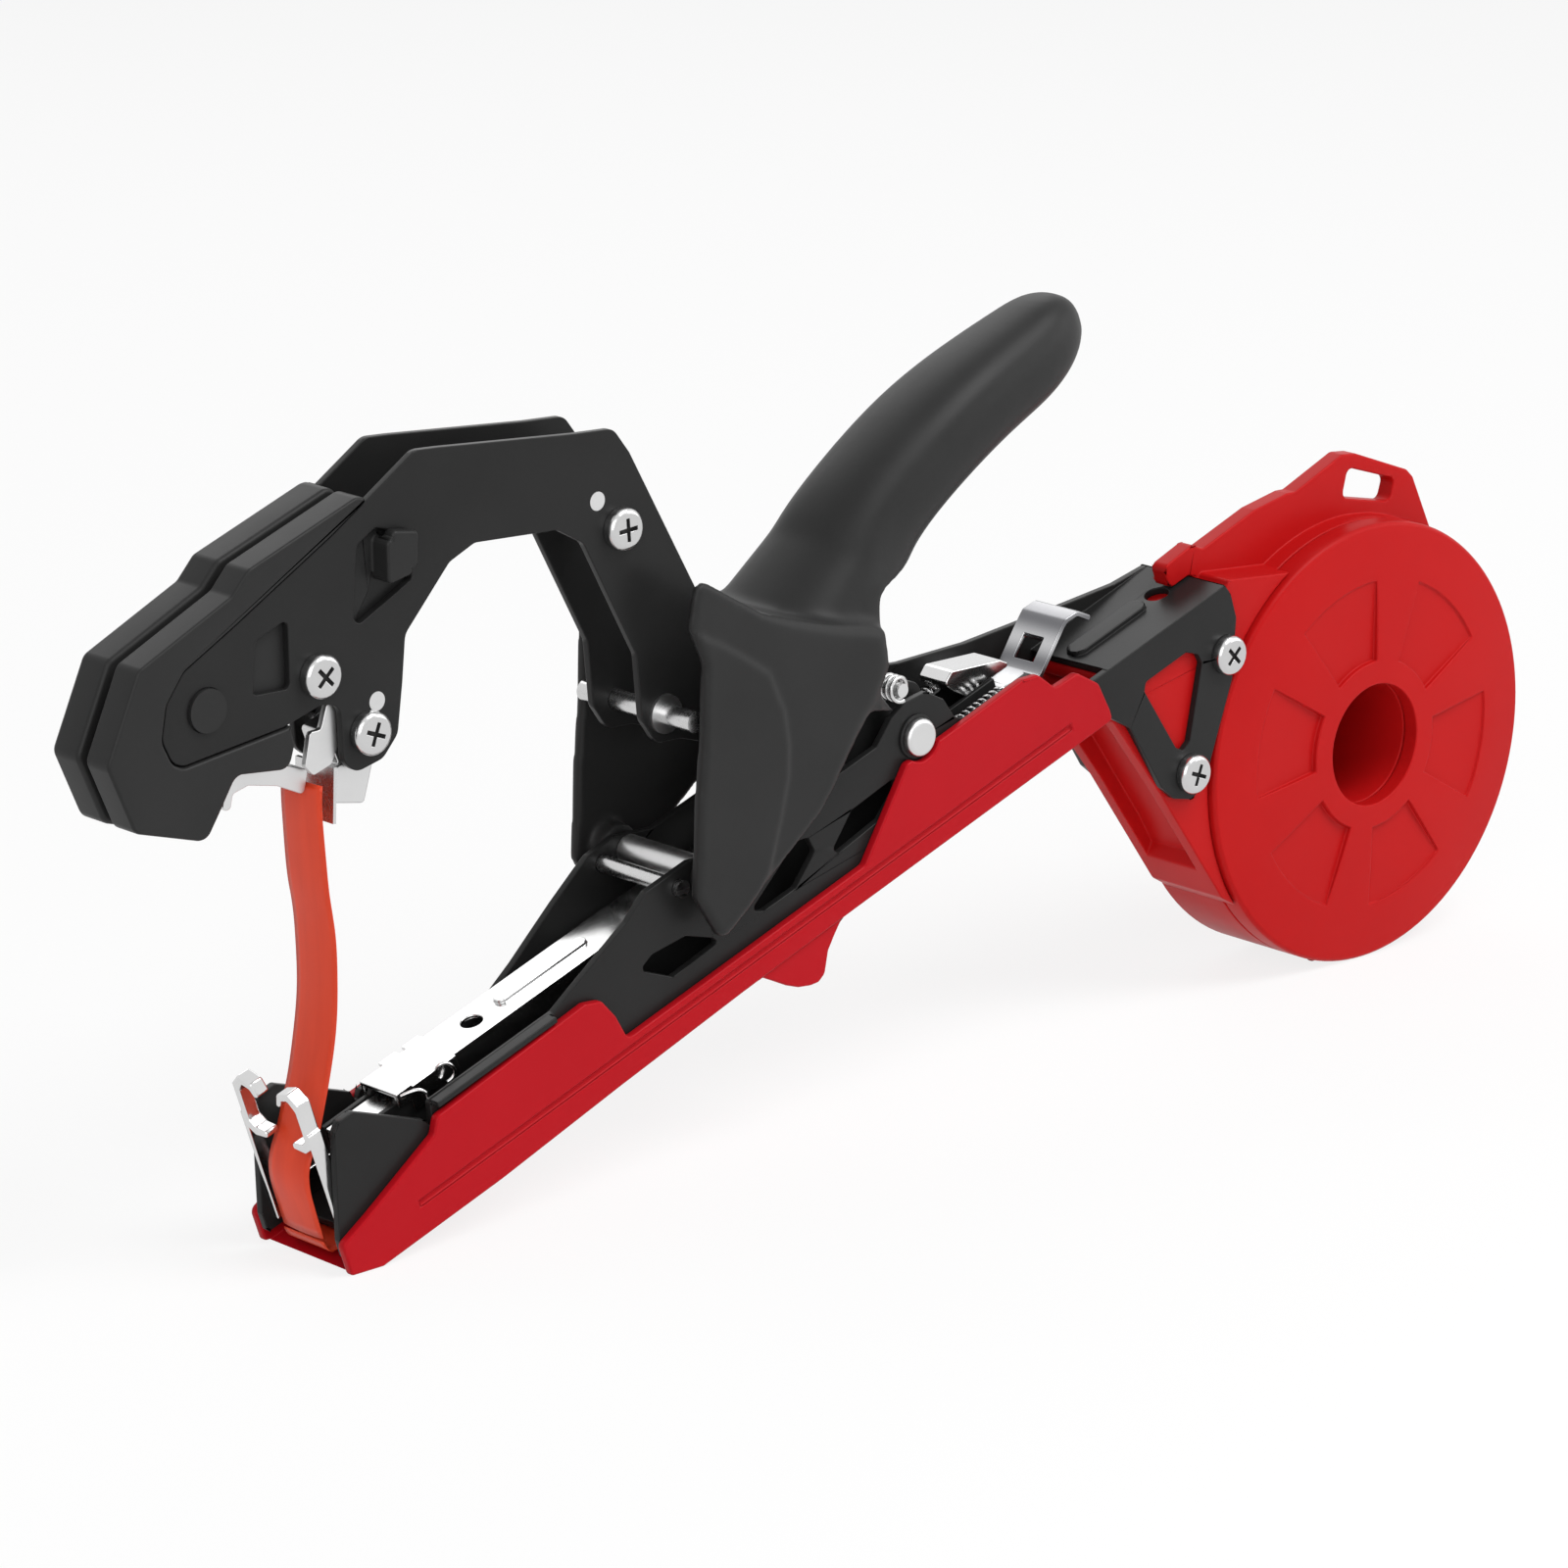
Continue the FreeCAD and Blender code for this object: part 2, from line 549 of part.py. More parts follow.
# The neck's upper front corner sits behind the web, under the top plate
REEL_FORWARD = f"frame_length - neck_inset - case_radius * ({NECK_SHARES[0][0]})"
REEL_UP = f"top_plate_level - frame_sheet - case_radius * {NECK_SHARES[0][1]}"
REEL = (
    s.frame_length - s.neck_inset - s.case_radius * NECK_SHARES[0][0],
    s.top_plate_level - s.frame_sheet - s.case_radius * NECK_SHARES[0][1],
)
EAR_SCREWS = scaled(EAR_SCREW_SHARES, REEL, s.case_radius, s.case_radius)
# The hidden tape runs under the web, over the guide pin
TAPE_LEVEL = WEB_LEVEL - s.tape_web_gap - s.tape_sheet / 2
GUIDE_PIN_UP = TAPE_LEVEL - s.tape_sheet / 2 - s.running_clearance - s.guide_pin_radius
GUIDE_PIN = (REEL[0] + GUIDE_PIN_SHARE * s.case_radius, GUIDE_PIN_UP)
ROLL_RADIUS = s.case_radius - s.case_wall - s.roll_gap
COVER_LENGTH = s.frame_length - s.cover_inset - s.cover_start
WEB_END = s.frame_length - s.frame_web_inset
RAIL_END = WEB_END - s.rail_inset
RAIL_LOW_START = ARM_PIVOT[0] - s.rail_low_lead
MAG_COVER_END = RAIL_LOW_START - s.mag_cover_gap
LATCH_PIN = (RAIL_END + s.latch_lead, LATCH_PIN_SHARE * s.frame_height)
ARM_SCREWS = scaled(ARM_SCREW_SHARES, ARM_PIVOT, s.arm_reach, s.arm_rise)
ARM_DOWELS = scaled(ARM_DOWEL_SHARES, ARM_PIVOT, s.arm_reach, s.arm_rise)
LINK_PIN = scaled([LINK_PIN_SHARE], ARM_PIVOT, s.arm_reach, s.arm_rise)[0]
GRIPPER_PIN = scaled([GRIPPER_PIN_SHARE], ARM_PIVOT, s.arm_reach, s.arm_rise)[0]
PLUG = scaled([PLUG_SHARE], ARM_PIVOT, s.arm_reach, s.arm_rise)[0]
TAPE_END = scaled([TAPE_END_SHARES], ARM_PIVOT, s.arm_reach, s.arm_rise)[0]
SIDES = ((-1, "near"), (1, "far"))
ARM_FACES = {-1: "arm_half_width", 1: "arm_far_half_width"}
HEAD_FACES = {-1: "head_half_width", 1: "head_far_half_width"}


# Where the tool stands
def resting_angle():
    """The lean, in radians, at which the reel case's rim and the far end of the sole touch one plane."""
    ahead = REEL[0] - s.cover_start
    above = REEL[1] - s.cover_bottom
    span = math.hypot(ahead, above)
    lean = 0.0
    for _ in range(40):
        rise = s.case_radius + s.sole_length * math.sin(lean) * math.cos(lean)
        lean = math.asin(rise / span) - math.atan2(above, ahead)
    return lean


LEAN = resting_angle()
SOLE_FRONT = (s.cover_start, s.cover_bottom + s.sole_length * math.sin(LEAN))
SOLE_BACK = (s.cover_start + s.sole_length * math.cos(LEAN), s.cover_bottom)
SOLE_MIDDLE = FreeCAD.Vector((SOLE_FRONT[0] + SOLE_BACK[0]) / 2, 0, (SOLE_FRONT[1] + SOLE_BACK[1]) / 2)
TILT = FreeCAD.Rotation(FreeCAD.Vector(0, 1, 0), -math.degrees(LEAN))
STANDING = FreeCAD.Placement(-TILT.multVec(SOLE_MIDDLE), TILT)


def frame_loop(shares, radius):
    return ring(scaled(shares, (0, 0), s.frame_length, s.frame_height), radius)


def arm_loop(shares, radius):
    return ring(scaled(shares, ARM_PIVOT, s.arm_reach, s.arm_rise), radius)


def reel_loop(shares, radius=0.0):
    return ring(scaled(shares, REEL, s.case_radius, s.case_radius), radius)


def side_layer(body, side, loops, circles, inner, outer):
    """A layer on one side of the middle plane, between two distances from it."""
    low, high = (f"-({outer})", f"-({inner})") if side < 0 else (inner, outer)
    return layer(body, "XZ_Plane", loops, circles, low, high)


def side_cut(body, side, loops, circles, inner, outer):
    low, high = (f"-({outer})", f"-({inner})") if side < 0 else (inner, outer)
    return cut(body, "XZ_Plane", loops, circles, low, high)


def round_holes(places, radius):
    return [(x, z, radius) for x, z in places]


def hexagon(place, radius):
    corners = [math.radians(60 * i + 30) for i in range(6)]
    return ring([(place[0] + radius * math.cos(a), place[1] + radius * math.sin(a)) for a in corners])


def cross(place, turn):
    """The outline of a cross recess in a screw's head."""
    reach, half = s.screw_slot_reach, s.screw_slot_half_width
    quarter = [(reach, -half), (reach, half), (half, half)]
    points = []
    for i in range(4):
        angle = math.radians(90 * i + turn)
        for x, z in quarter:
            points.append((place[0] + x * math.cos(angle) - z * math.sin(angle), place[1] + x * math.sin(angle) + z * math.cos(angle)))
    return ring(points)


def pins(label, places, radius, low, high):
    body = new_body(label)
    layer(body, "XZ_Plane", [], round_holes(places, radius), low, high)
    return body


def screws(label, places, face, far_end):
    """Pan head screws with their heads on the near side, standing on a face that far from the middle."""
    body = new_body(label)
    head = f"{face} + screw_head_height"
    side_layer(body, -1, [], round_holes(places, "screw_head_radius"), face, head)
    top = -(LENGTHS[face] + s.screw_head_height)
    dress(body, "Fillet", plane_edges(body.Shape, top), "screw_head_round")
    loops = [cross(place, SCREW_TURN * (i + 1)) for i, place in enumerate(places)]
    side_cut(body, -1, loops, [], f"{head} - screw_slot_depth", f"{head} + cut_overrun")
    layer(body, "XZ_Plane", [], round_holes(places, "screw_radius"), f"-{face}", far_end)
    return body


def nuts(label, places, face):
    body = new_body(label)
    loops = [hexagon(place, s.nut_radius) for place in places]
    side_layer(body, 1, loops, round_holes(places, "screw_radius"), face, f"{face} + nut_height")
    return body


# Body channel and bottom cover
def frame_channel():
    body = new_body("frame_channel")
    windows = [frame_loop(shares, s.frame_corner) for shares in FRAME_SLOT_SHARES]
    windows.append(reel_loop(EAR_WINDOW_SHARES, s.frame_corner))
    holes = [(*HANDLE_PIVOT, "pivot_pin_radius"), (*STOP_PIN, "stop_pin_radius"), (*ARM_PIVOT, "rivet_radius")]
    holes += [(*LATCH_PIN, "latch_pin_radius")] + round_holes(EAR_SCREWS, "screw_radius")
    ear = scaled(FRAME_EAR_SHARES, REEL, s.case_radius, s.case_radius)
    walls = ((-1, FRAME_FRONT_SHARES + FRAME_NEAR_BACK_SHARES), (1, FRAME_FAR_FRONT_SHARES + FRAME_FAR_BACK_SHARES))
    for side, shares in walls:
        outline = ring(scaled(shares, (0, 0), s.frame_length, s.frame_height) + ear, s.frame_corner)
        side_layer(body, side, [outline, *windows], holes, "frame_half_width - frame_sheet", "frame_half_width")
    web = ring(box(s.frame_web_start, WEB_END, WEB_LEVEL, WEB_TOP))
    layer(body, "XZ_Plane", [web], [], "-frame_half_width", "frame_half_width")
    start, end = (REEL[0] + share * s.case_radius for share in TOP_PLATE_SHARES)
    plate = ring(box(start, end, s.top_plate_level - s.frame_sheet, s.top_plate_level))
    layer(body, "XZ_Plane", [plate], [], "-frame_half_width", "frame_half_width")
    start, end = (REEL[0] + share * s.case_radius for share in TOP_RIB_SHARES)
    rib = ring(box(start, end, -s.top_rib_half_width, s.top_rib_half_width), s.top_rib_half_width)
    layer(body, "XY_Plane", [rib], [], "top_plate_level - frame_sheet / 2", "top_plate_level + top_rib_rise")
    start, end = (share * s.frame_length for share in LIP_SHARES)
    lip = ring(box(start, end, s.lip_level, s.lip_level + s.lip_sheet))
    side_layer(body, -1, [lip], [], "frame_half_width - frame_sheet / 2", "lip_reach")
    hole = (REEL[0] + TOP_HOLE_SHARE * s.case_radius, 0, "top_hole_radius")
    cut(body, "XY_Plane", [], [hole], "0", "frame_height")
    return body


def bottom_cover():
    body = new_body("bottom_cover")
    half = "frame_half_width + cover_wall"
    outline = ring(scaled(COVER_SHARES, (s.cover_start, s.cover_bottom), COVER_LENGTH, s.cover_height), s.cover_corner)
    layer(body, "XZ_Plane", [outline], [], f"-({half})", half)
    floor = s.cover_bottom + s.cover_floor
    rear_floor = s.cover_bottom + COVER_REAR_BOTTOM_SHARE * s.cover_height + s.cover_rear_floor
    front, rear = (s.cover_start + share * COVER_LENGTH for share in COVER_FLOOR_SHARES)
    end, top = s.cover_start + COVER_LENGTH + s.cut_overrun, s.cover_height + s.cut_overrun
    start = s.cover_start - s.cut_overrun
    room = ring([(start, top), (start, floor), (front, floor), (rear, rear_floor), (end, rear_floor), (end, top)])
    cut(body, "XZ_Plane", [room], [], "-frame_half_width", "frame_half_width")
    far_edge = ring(box(start, s.cover_far_reach, s.cover_far_level, top))
    side_cut(body, 1, [far_edge], [], "frame_half_width", f"{half} + cut_overrun")
    bump_start = (s.cover_start + BUMP_START_SHARE * COVER_LENGTH, s.cover_bottom)
    bump = ring(scaled(BUMP_SHARES, bump_start, s.finger_bump_length, s.finger_bump_depth), s.cover_corner)
    layer(body, "XZ_Plane", [bump], [], "-finger_bump_half_width", "finger_bump_half_width")
    groove_end = s.cover_start + COVER_LENGTH - s.cover_groove_inset
    groove = ring(box(s.cover_groove_start, groove_end, s.cover_groove_level, s.cover_groove_level + s.cover_groove_height))
    for side in (-1, 1):
        side_cut(body, side, [groove], [], f"{half} - cover_groove_depth", f"{half} + cut_overrun")
    along = (math.cos(LEAN) * s.cut_overrun, -math.sin(LEAN) * s.cut_overrun)
    corner = (s.cover_start - s.cut_overrun, s.cover_bottom - s.cut_overrun)
    sole = [(SOLE_FRONT[0] - along[0], SOLE_FRONT[1] - along[1]), (SOLE_BACK[0] + along[0], SOLE_BACK[1] + along[1]), corner]
    cut(body, "XZ_Plane", [ring(sole)], [], f"-({half}) - cut_overrun", f"{half} + cut_overrun")
    notch = [(*ARM_PIVOT, "rivet_notch_radius")]
    cut(body, "XZ_Plane", [], notch, f"-({half}) - cut_overrun", f"{half} + cut_overrun")
    return body


# Reel case with its lid
def wedge(inner, outer, middle):
    """A recess between two spokes, bounded by two arcs about the reel's axis."""
    def at(radius, degrees):
        angle = math.radians(degrees)
        return FreeCAD.Vector(REEL[0] + radius * math.cos(angle), REEL[1] + radius * math.sin(angle), 0)
    low, high = middle - SPOKE_HALF_ANGLE, middle + SPOKE_HALF_ANGLE
    return [
        Part.Arc(at(outer, low), at(outer, middle), at(outer, high)),
        Part.LineSegment(at(outer, high), at(inner, high)),
        Part.Arc(at(inner, high), at(inner, middle), at(inner, low)),
        Part.LineSegment(at(inner, low), at(outer, low)),
    ]


def spoke_recesses():
    return [wedge(s.spoke_inner_radius, s.spoke_outer_radius, 360 / SPOKES * (i + 0.5)) for i in range(SPOKES)]


def hinge_feature(body, kind, loops, circles, length):
    """A pad or cut along the lid's hinge, drawn across it with the standing plane as its zero height."""
    sketch = body.newObject("Sketcher::SketchObject", body.Label + "_hinge_sketch")
    sketch.AttachmentSupport = [(next(item for item in body.Origin.OriginFeatures if item.Role == "YZ_Plane"), "")]
    sketch.MapMode = "FlatFace"
    foot = FreeCAD.Vector(0, REEL[1] - s.case_radius * math.cos(LEAN), REEL[0] - s.case_radius * math.sin(LEAN))
    sketch.AttachmentOffset = FreeCAD.Placement(foot, FreeCAD.Rotation(FreeCAD.Vector(1, 0, 0), math.degrees(LEAN)))
    for loop in loops:
        sketch.addGeometry(loop, False)
    for y, z, radius in circles:
        start = LENGTHS[re.match(r"[a-z][a-z_]*", radius).group()]
        index = sketch.addGeometry(Part.Circle(FreeCAD.Vector(y, z, 0), FreeCAD.Vector(0, 0, 1), start), False)
        rule = sketch.addConstraint(Sketcher.Constraint("Radius", index, start))
        sketch.setExpression(f"Constraints[{rule}]", bound(radius))
    feature = body.newObject("PartDesign::" + kind, body.Label + "_hinge")
    feature.Profile = sketch
    feature.SideType = "Symmetric"
    feature.setExpression("Length", bound(length))
    doc.recompute()
    return feature


HINGE = (-(s.lid_seam + s.lid_seam_gap / 2), s.lid_knuckle_lift)


def reel_case():
    body = new_body("reel_case")
    layer(body, "XZ_Plane", [], [(*REEL, "case_radius")], "-lid_seam", "case_half_width")
    layer(body, "XZ_Plane", [reel_loop(NECK_SHARES, s.neck_corner)], [], "-neck_half_width", "neck_half_width")
    layer(body, "XZ_Plane", [reel_loop(LUG_SHARES, s.lug_corner)], [], "-lug_half_width", "lug_half_width")
    side_cut(body, -1, [], [(*REEL, "case_radius + lid_seam_gap")], "lid_seam", "neck_half_width + cut_overrun")
    cut(body, "XZ_Plane", [], [(*REEL, "case_radius - case_wall")], "-lid_seam - cut_overrun", "case_half_width - case_wall")
    for shares in (NECK_PASSAGE_SHARES, NECK_GROOVE_SHARES):
        cut(body, "XZ_Plane", [reel_loop(shares)], [], "-neck_channel_half_width", "neck_channel_half_width")
    layer(body, "XZ_Plane", [], [(*REEL, "hub_hole_radius + hub_wall")], "-case_hub_face", "case_half_width - case_wall")
    cut(body, "XZ_Plane", [], [(*REEL, "hub_hole_radius")], "-case_hub_face - cut_overrun", "case_half_width - case_wall")
    cut(body, "XZ_Plane", [reel_loop(LUG_WINDOW_SHARES, s.lug_corner)], [], "-lug_half_width - cut_overrun", "lug_half_width + cut_overrun")
    side_cut(body, 1, spoke_recesses(), [], "case_half_width - far_spoke_depth", "case_half_width + cut_overrun")
    holes = [(*GUIDE_PIN, "guide_pin_radius")] + round_holes(EAR_SCREWS, "screw_radius")
    cut(body, "XZ_Plane", [], holes, "-neck_half_width - cut_overrun", "neck_half_width + cut_overrun")
    hinge_feature(body, "Pad", [], [(*HINGE, "lid_knuckle_radius")], "lid_knuckle_length * 3")
    hinge_feature(body, "Pocket", [], [(*HINGE, "lid_knuckle_radius + lid_knuckle_gap")], "lid_knuckle_length + lid_knuckle_gap * 2")
    hinge_feature(body, "Pocket", [], [(*HINGE, "lid_pin_radius")], "lid_knuckle_length * 3 + cut_overrun")
    return body


def reel_lid():
    body = new_body("reel_lid")
    sketch = body.newObject("Sketcher::SketchObject", "reel_lid_profile")
    sketch.AttachmentSupport = [(next(item for item in body.Origin.OriginFeatures if item.Role == "XY_Plane"), "")]
    sketch.MapMode = "FlatFace"
    sketch.setExpression("AttachmentOffset.Base.x", bound(REEL_FORWARD))
    sketch.setExpression("AttachmentOffset.Base.z", bound(REEL_UP))
    rim, hub = s.case_radius, s.hub_hole_radius
    crown, face = s.lid_crown_face, s.lid_rim_face
    outside = [(rim, -(s.lid_seam + s.lid_seam_gap)), (rim, -face + 1.1 * s.lid_round), (rim - 0.35 * s.lid_round, -face + 0.35 * s.lid_round)]
    outside += [(rim - 1.1 * s.lid_round, -face)]
    outside += [(hub + (rim - s.lid_round - hub) * t, -crown + (crown - face) * t ** 2.2) for t in (0.8, 0.6, 0.4, 0.2)]
    outside += [(hub, -crown)]
    inside = [(hub, -s.lid_hub_face), (hub + s.hub_wall, -s.lid_hub_face), (hub + s.hub_wall, -crown + s.lid_sheet)]
    inside += [(hub + (rim - hub) * t, -crown + s.lid_sheet + (crown - face) * t ** 2.2) for t in (0.4, 0.6, 0.8)]
    inside += [(rim - s.case_wall, -face + s.lid_sheet), (rim - s.case_wall, -(s.lid_seam + s.lid_seam_gap))]
    sketch.addGeometry(ring(outside + inside), False)
    turn = body.newObject("PartDesign::Revolution", "reel_lid_turned")
    turn.Profile = sketch
    turn.ReferenceAxis = (sketch, ["V_Axis"])
    doc.recompute()
    side_cut(body, -1, spoke_recesses(), [], "spoke_floor", "lid_crown_face + cut_overrun")
    notch = ring(box(HINGE[0] - s.lid_knuckle_notch, -s.lid_seam, -s.cut_overrun, HINGE[1] + s.lid_knuckle_notch))
    hinge_feature(body, "Pocket", [notch], [], "lid_knuckle_length * 4")
    hinge_feature(body, "Pad", [], [(*HINGE, "lid_knuckle_radius")], "lid_knuckle_length")
    tongue = ring(scaled(LID_TONGUE_SHARES, HINGE, s.lid_knuckle_radius, s.lid_knuckle_radius))
    hinge_feature(body, "Pad", [tongue], [], "lid_knuckle_length")
    hinge_feature(body, "Pocket", [], [(*HINGE, "lid_pin_radius + running_clearance")], "lid_knuckle_length + cut_overrun")
    return body


def lid_hinge_pin():
    body = new_body("lid_hinge_pin")
    hinge_feature(body, "Pad", [], [(*HINGE, "lid_pin_radius")], "lid_knuckle_length * 3")
    return body


def roll_ring(label, outer, inner):
    body = new_body(label)
    layer(body, "XZ_Plane", [], [(*REEL, outer), (*REEL, inner)], "-tape_width / 2", "tape_width / 2")
    return body


# Tape
def ribbon(path, thickness):
    """The outline of a strip that runs along a path."""
    left, right = [], []
    for i, (x, z) in enumerate(path):
        before = path[max(i - 1, 0)]
        after = path[min(i + 1, len(path) - 1)]
        directions = [FreeCAD.Vector(x - before[0], z - before[1], 0), FreeCAD.Vector(after[0] - x, after[1] - z, 0)]
        directions = [d.normalize() for d in directions if d.Length > 0]
        middle = (directions[0] + directions[-1]).normalize()
        reach = thickness / 2 / max(middle.dot(directions[0]), 0.5)
        left.append((x - middle.y * reach, z + middle.x * reach))
        right.append((x + middle.y * reach, z - middle.x * reach))
    return left + right[::-1]


def tape_strip(label, path, bend):
    body = new_body(label)
    layer(body, "XZ_Plane", [ring(ribbon(path, s.tape_sheet), bend)], [], "-tape_width / 2", "tape_width / 2")
    return body


def hidden_path():
    """From the top of the roll over the guide pin, along the body and up into the nose."""
    path = scaled([TAPE_ROLL_SHARE], REEL, ROLL_RADIUS, ROLL_RADIUS)
    path += [(GUIDE_PIN[0], TAPE_LEVEL), (s.tape_start_forward + s.tape_front_bend, TAPE_LEVEL)]
    return path + [(s.tape_start_forward, share * s.frame_height) for share in TAPE_TURN_SHARES]


# Staple magazine
def magazine_rail():
    body = new_body("magazine_rail")
    outline = [(s.rail_start, WEB_TOP), (RAIL_END, WEB_TOP), (RAIL_END, s.rail_low_top)]
    high = s.mag_cover_level - s.mag_cover_sheet
    outline += [(RAIL_LOW_START + s.rail_step, s.rail_low_top), (RAIL_LOW_START, high), (s.mag_cover_start + s.rail_step, high)]
    outline += [(s.mag_cover_start, s.rail_front_top), (s.rail_start, s.rail_front_top)]
    layer(body, "XZ_Plane", [ring(outline)], [], "-rail_half_width", "rail_half_width")
    back = RAIL_END - s.rail_end_wall
    upper = ring(box(s.rail_start - s.cut_overrun, back, s.rail_ledge, s.mag_cover_level))
    cut(body, "XZ_Plane", [upper], [], "-(rail_half_width - rail_sheet)", "rail_half_width - rail_sheet")
    lower = ring(box(s.rail_start + s.rail_end_wall, back, WEB_TOP + s.rail_sheet, s.rail_ledge + s.rail_sheet))
    cut(body, "XZ_Plane", [lower], [], "-rail_channel_half_width", "rail_channel_half_width")
    return body


def magazine_cover():
    body = new_body("magazine_cover")
    under = s.mag_cover_level - s.mag_cover_sheet
    outline = box(s.mag_cover_start, MAG_COVER_END, s.mag_cover_level - s.mag_cover_side, s.mag_cover_level)
    layer(body, "XZ_Plane", [ring(outline)], [], "-mag_cover_half_width", "mag_cover_half_width")
    room = box(s.mag_cover_start - s.cut_overrun, MAG_COVER_END + s.cut_overrun, 0, under)
    cut(body, "XZ_Plane", [ring(room)], [], "-(mag_cover_half_width - mag_cover_sheet)", "mag_cover_half_width - mag_cover_sheet")
    bead = ring(box(s.mag_bead_start, s.mag_bead_end, -s.mag_bead_half_width, s.mag_bead_half_width), s.mag_bead_half_width)
    layer(body, "XY_Plane", [bead], [], "mag_cover_level - mag_cover_sheet / 2", "mag_cover_level + mag_bead_rise")
    cut(body, "XY_Plane", [], [(s.mag_hole_position, 0, "mag_hole_radius")], "0", "mag_cover_level + cut_overrun")
    step = s.mag_cover_level - s.mag_cover_side / 2
    ends = [ring(box(MAG_COVER_END - s.mag_cover_corner, MAG_COVER_END + s.cut_overrun, 0, step))]
    ends += [ring(box(s.mag_cover_start - s.cut_overrun, s.mag_cover_start + s.mag_cover_corner, 0, step))]
    cut(body, "XZ_Plane", ends, [], "-mag_cover_half_width - cut_overrun", "mag_cover_half_width + cut_overrun")
    return body


def staple_stick():
    body = new_body("staple_stick")
    end = s.staple_start + s.staple_stack_length
    outline = ring(box(s.staple_start, end, s.rail_ledge, s.rail_ledge + s.staple_leg))
    layer(body, "XZ_Plane", [outline], [], "-staple_half_width", "staple_half_width")
    room = ring(box(s.staple_start - s.cut_overrun, end + s.cut_overrun, 0, s.rail_ledge + s.staple_leg - s.staple_wire))
    cut(body, "XZ_Plane", [room], [], "-(staple_half_width - staple_wire)", "staple_half_width - staple_wire")
    return body


def staple_pusher():
    body = new_body("staple_pusher")
    start = s.staple_start + s.staple_stack_length + s.pusher_clearance
    split = s.rail_ledge + s.pusher_clearance
    head = ring(box(start, start + s.pusher_length, split, s.rail_ledge + s.staple_leg))
    layer(body, "XZ_Plane", [head], [], "-(staple_half_width)", "staple_half_width")
    foot = ring(box(start, start + s.pusher_length, s.pusher_foot, split))
    layer(body, "XZ_Plane", [foot], [], "-pusher_foot_half_width", "pusher_foot_half_width")
    cut(body, "YZ_Plane", [], [(0, s.rod_height, "rod_radius + running_clearance")], "0", "frame_length")
    return body


def along_body(label, rings, start, end):
    """Round bars or tubes that lie along the body, at the magazine rod's place."""
    body = new_body(label)
    layer(body, "YZ_Plane", [], [(0, s.rod_height, radius) for radius in rings], start, end)
    return body


def staple_driver():
    body = new_body("staple_driver")
    blade = ring(box(s.driver_start, s.driver_start + s.driver_sheet, WEB_TOP, s.driver_top))
    layer(body, "XZ_Plane", [blade], [], "-driver_half_width", "driver_half_width")
    return body


def tape_catcher(side, name):
    body = new_body("tape_catcher_" + name)
    start = (side * (s.claw_side - s.claw_width), s.claw_level)
    claw = ring(scaled(CLAW_SHARES, start, side * s.claw_width, s.claw_height), s.claw_corner)
    layer(body, "YZ_Plane", [claw], [], "claw_start", "claw_start + claw_depth")
    upright = box(s.claw_start, s.claw_start + s.claw_depth, WEB_TOP, s.catcher_top)
    plate = box(s.claw_start, s.claw_start + s.catcher_plate_length, WEB_TOP, s.catcher_plate_top)
    for loop in (upright, plate):
        side_layer(body, side, [ring(loop)], [], "catcher_inner", "frame_half_width - frame_sheet")
    return body


# Handle
def handle_grip():
    body = new_body("handle_grip")
    wing = scaled(WING_SHARES, HANDLE_PIVOT, s.handle_length, s.handle_rise)
    layer(body, "XZ_Plane", [ring(wing, s.handle_corner)], [], "-handle_half_width", "handle_half_width")
    sections = []
    for along, up, turn, half_height, half_width in GRIP_SECTION_SHARES:
        sketch = body.newObject("Sketcher::SketchObject", "handle_grip_section")
        sketch.AttachmentSupport = [(next(item for item in body.Origin.OriginFeatures if item.Role == "YZ_Plane"), "")]
        sketch.MapMode = "FlatFace"
        middle = FreeCAD.Vector(0, HANDLE_PIVOT[1] + up * s.handle_rise, HANDLE_PIVOT[0] + along * s.handle_length)
        sketch.AttachmentOffset = FreeCAD.Placement(middle, FreeCAD.Rotation(FreeCAD.Vector(1, 0, 0), -turn))
        width, height = half_width * s.handle_half_width, half_height * s.handle_rise
        points = []
        for i in range(GRIP_POINTS):
            angle = 2 * math.pi * (i + 0.5) / GRIP_POINTS
            across, over = math.cos(angle), math.sin(angle)
            reach = (abs(across) ** GRIP_SQUARENESS + abs(over) ** GRIP_SQUARENESS) ** (-1 / GRIP_SQUARENESS)
            points.append(FreeCAD.Vector(across * reach * width, over * reach * height, 0))
        curve = Part.BSplineCurve()
        curve.interpolate(Points=points, PeriodicFlag=True)
        sketch.addGeometry(curve, False)
        sections.append(sketch)
    loft = body.newObject("PartDesign::AdditiveLoft", "handle_grip_loft")
    loft.Profile = sections[0]
    loft.Sections = sections[1:]
    loft.Ruled = False
    doc.recompute()
    cavity = ring(scaled(HANDLE_CAVITY_SHARES, HANDLE_PIVOT, s.handle_length, s.handle_rise), s.handle_corner)
    inner = "handle_half_width - handle_wall"
    cut(body, "XZ_Plane", [cavity], [], f"-({inner})", inner)
    for side in (-1, 1):
        side_layer(body, side, [], [(*HANDLE_PIVOT, "pivot_boss_radius")], "pivot_boss_face", "handle_half_width - handle_wall / 2")
        side_cut(body, side, [], [(*HANDLE_PIVOT, "pivot_pin_radius + running_clearance")], "pivot_boss_face - cut_overrun", "pivot_bore_end")
    return body


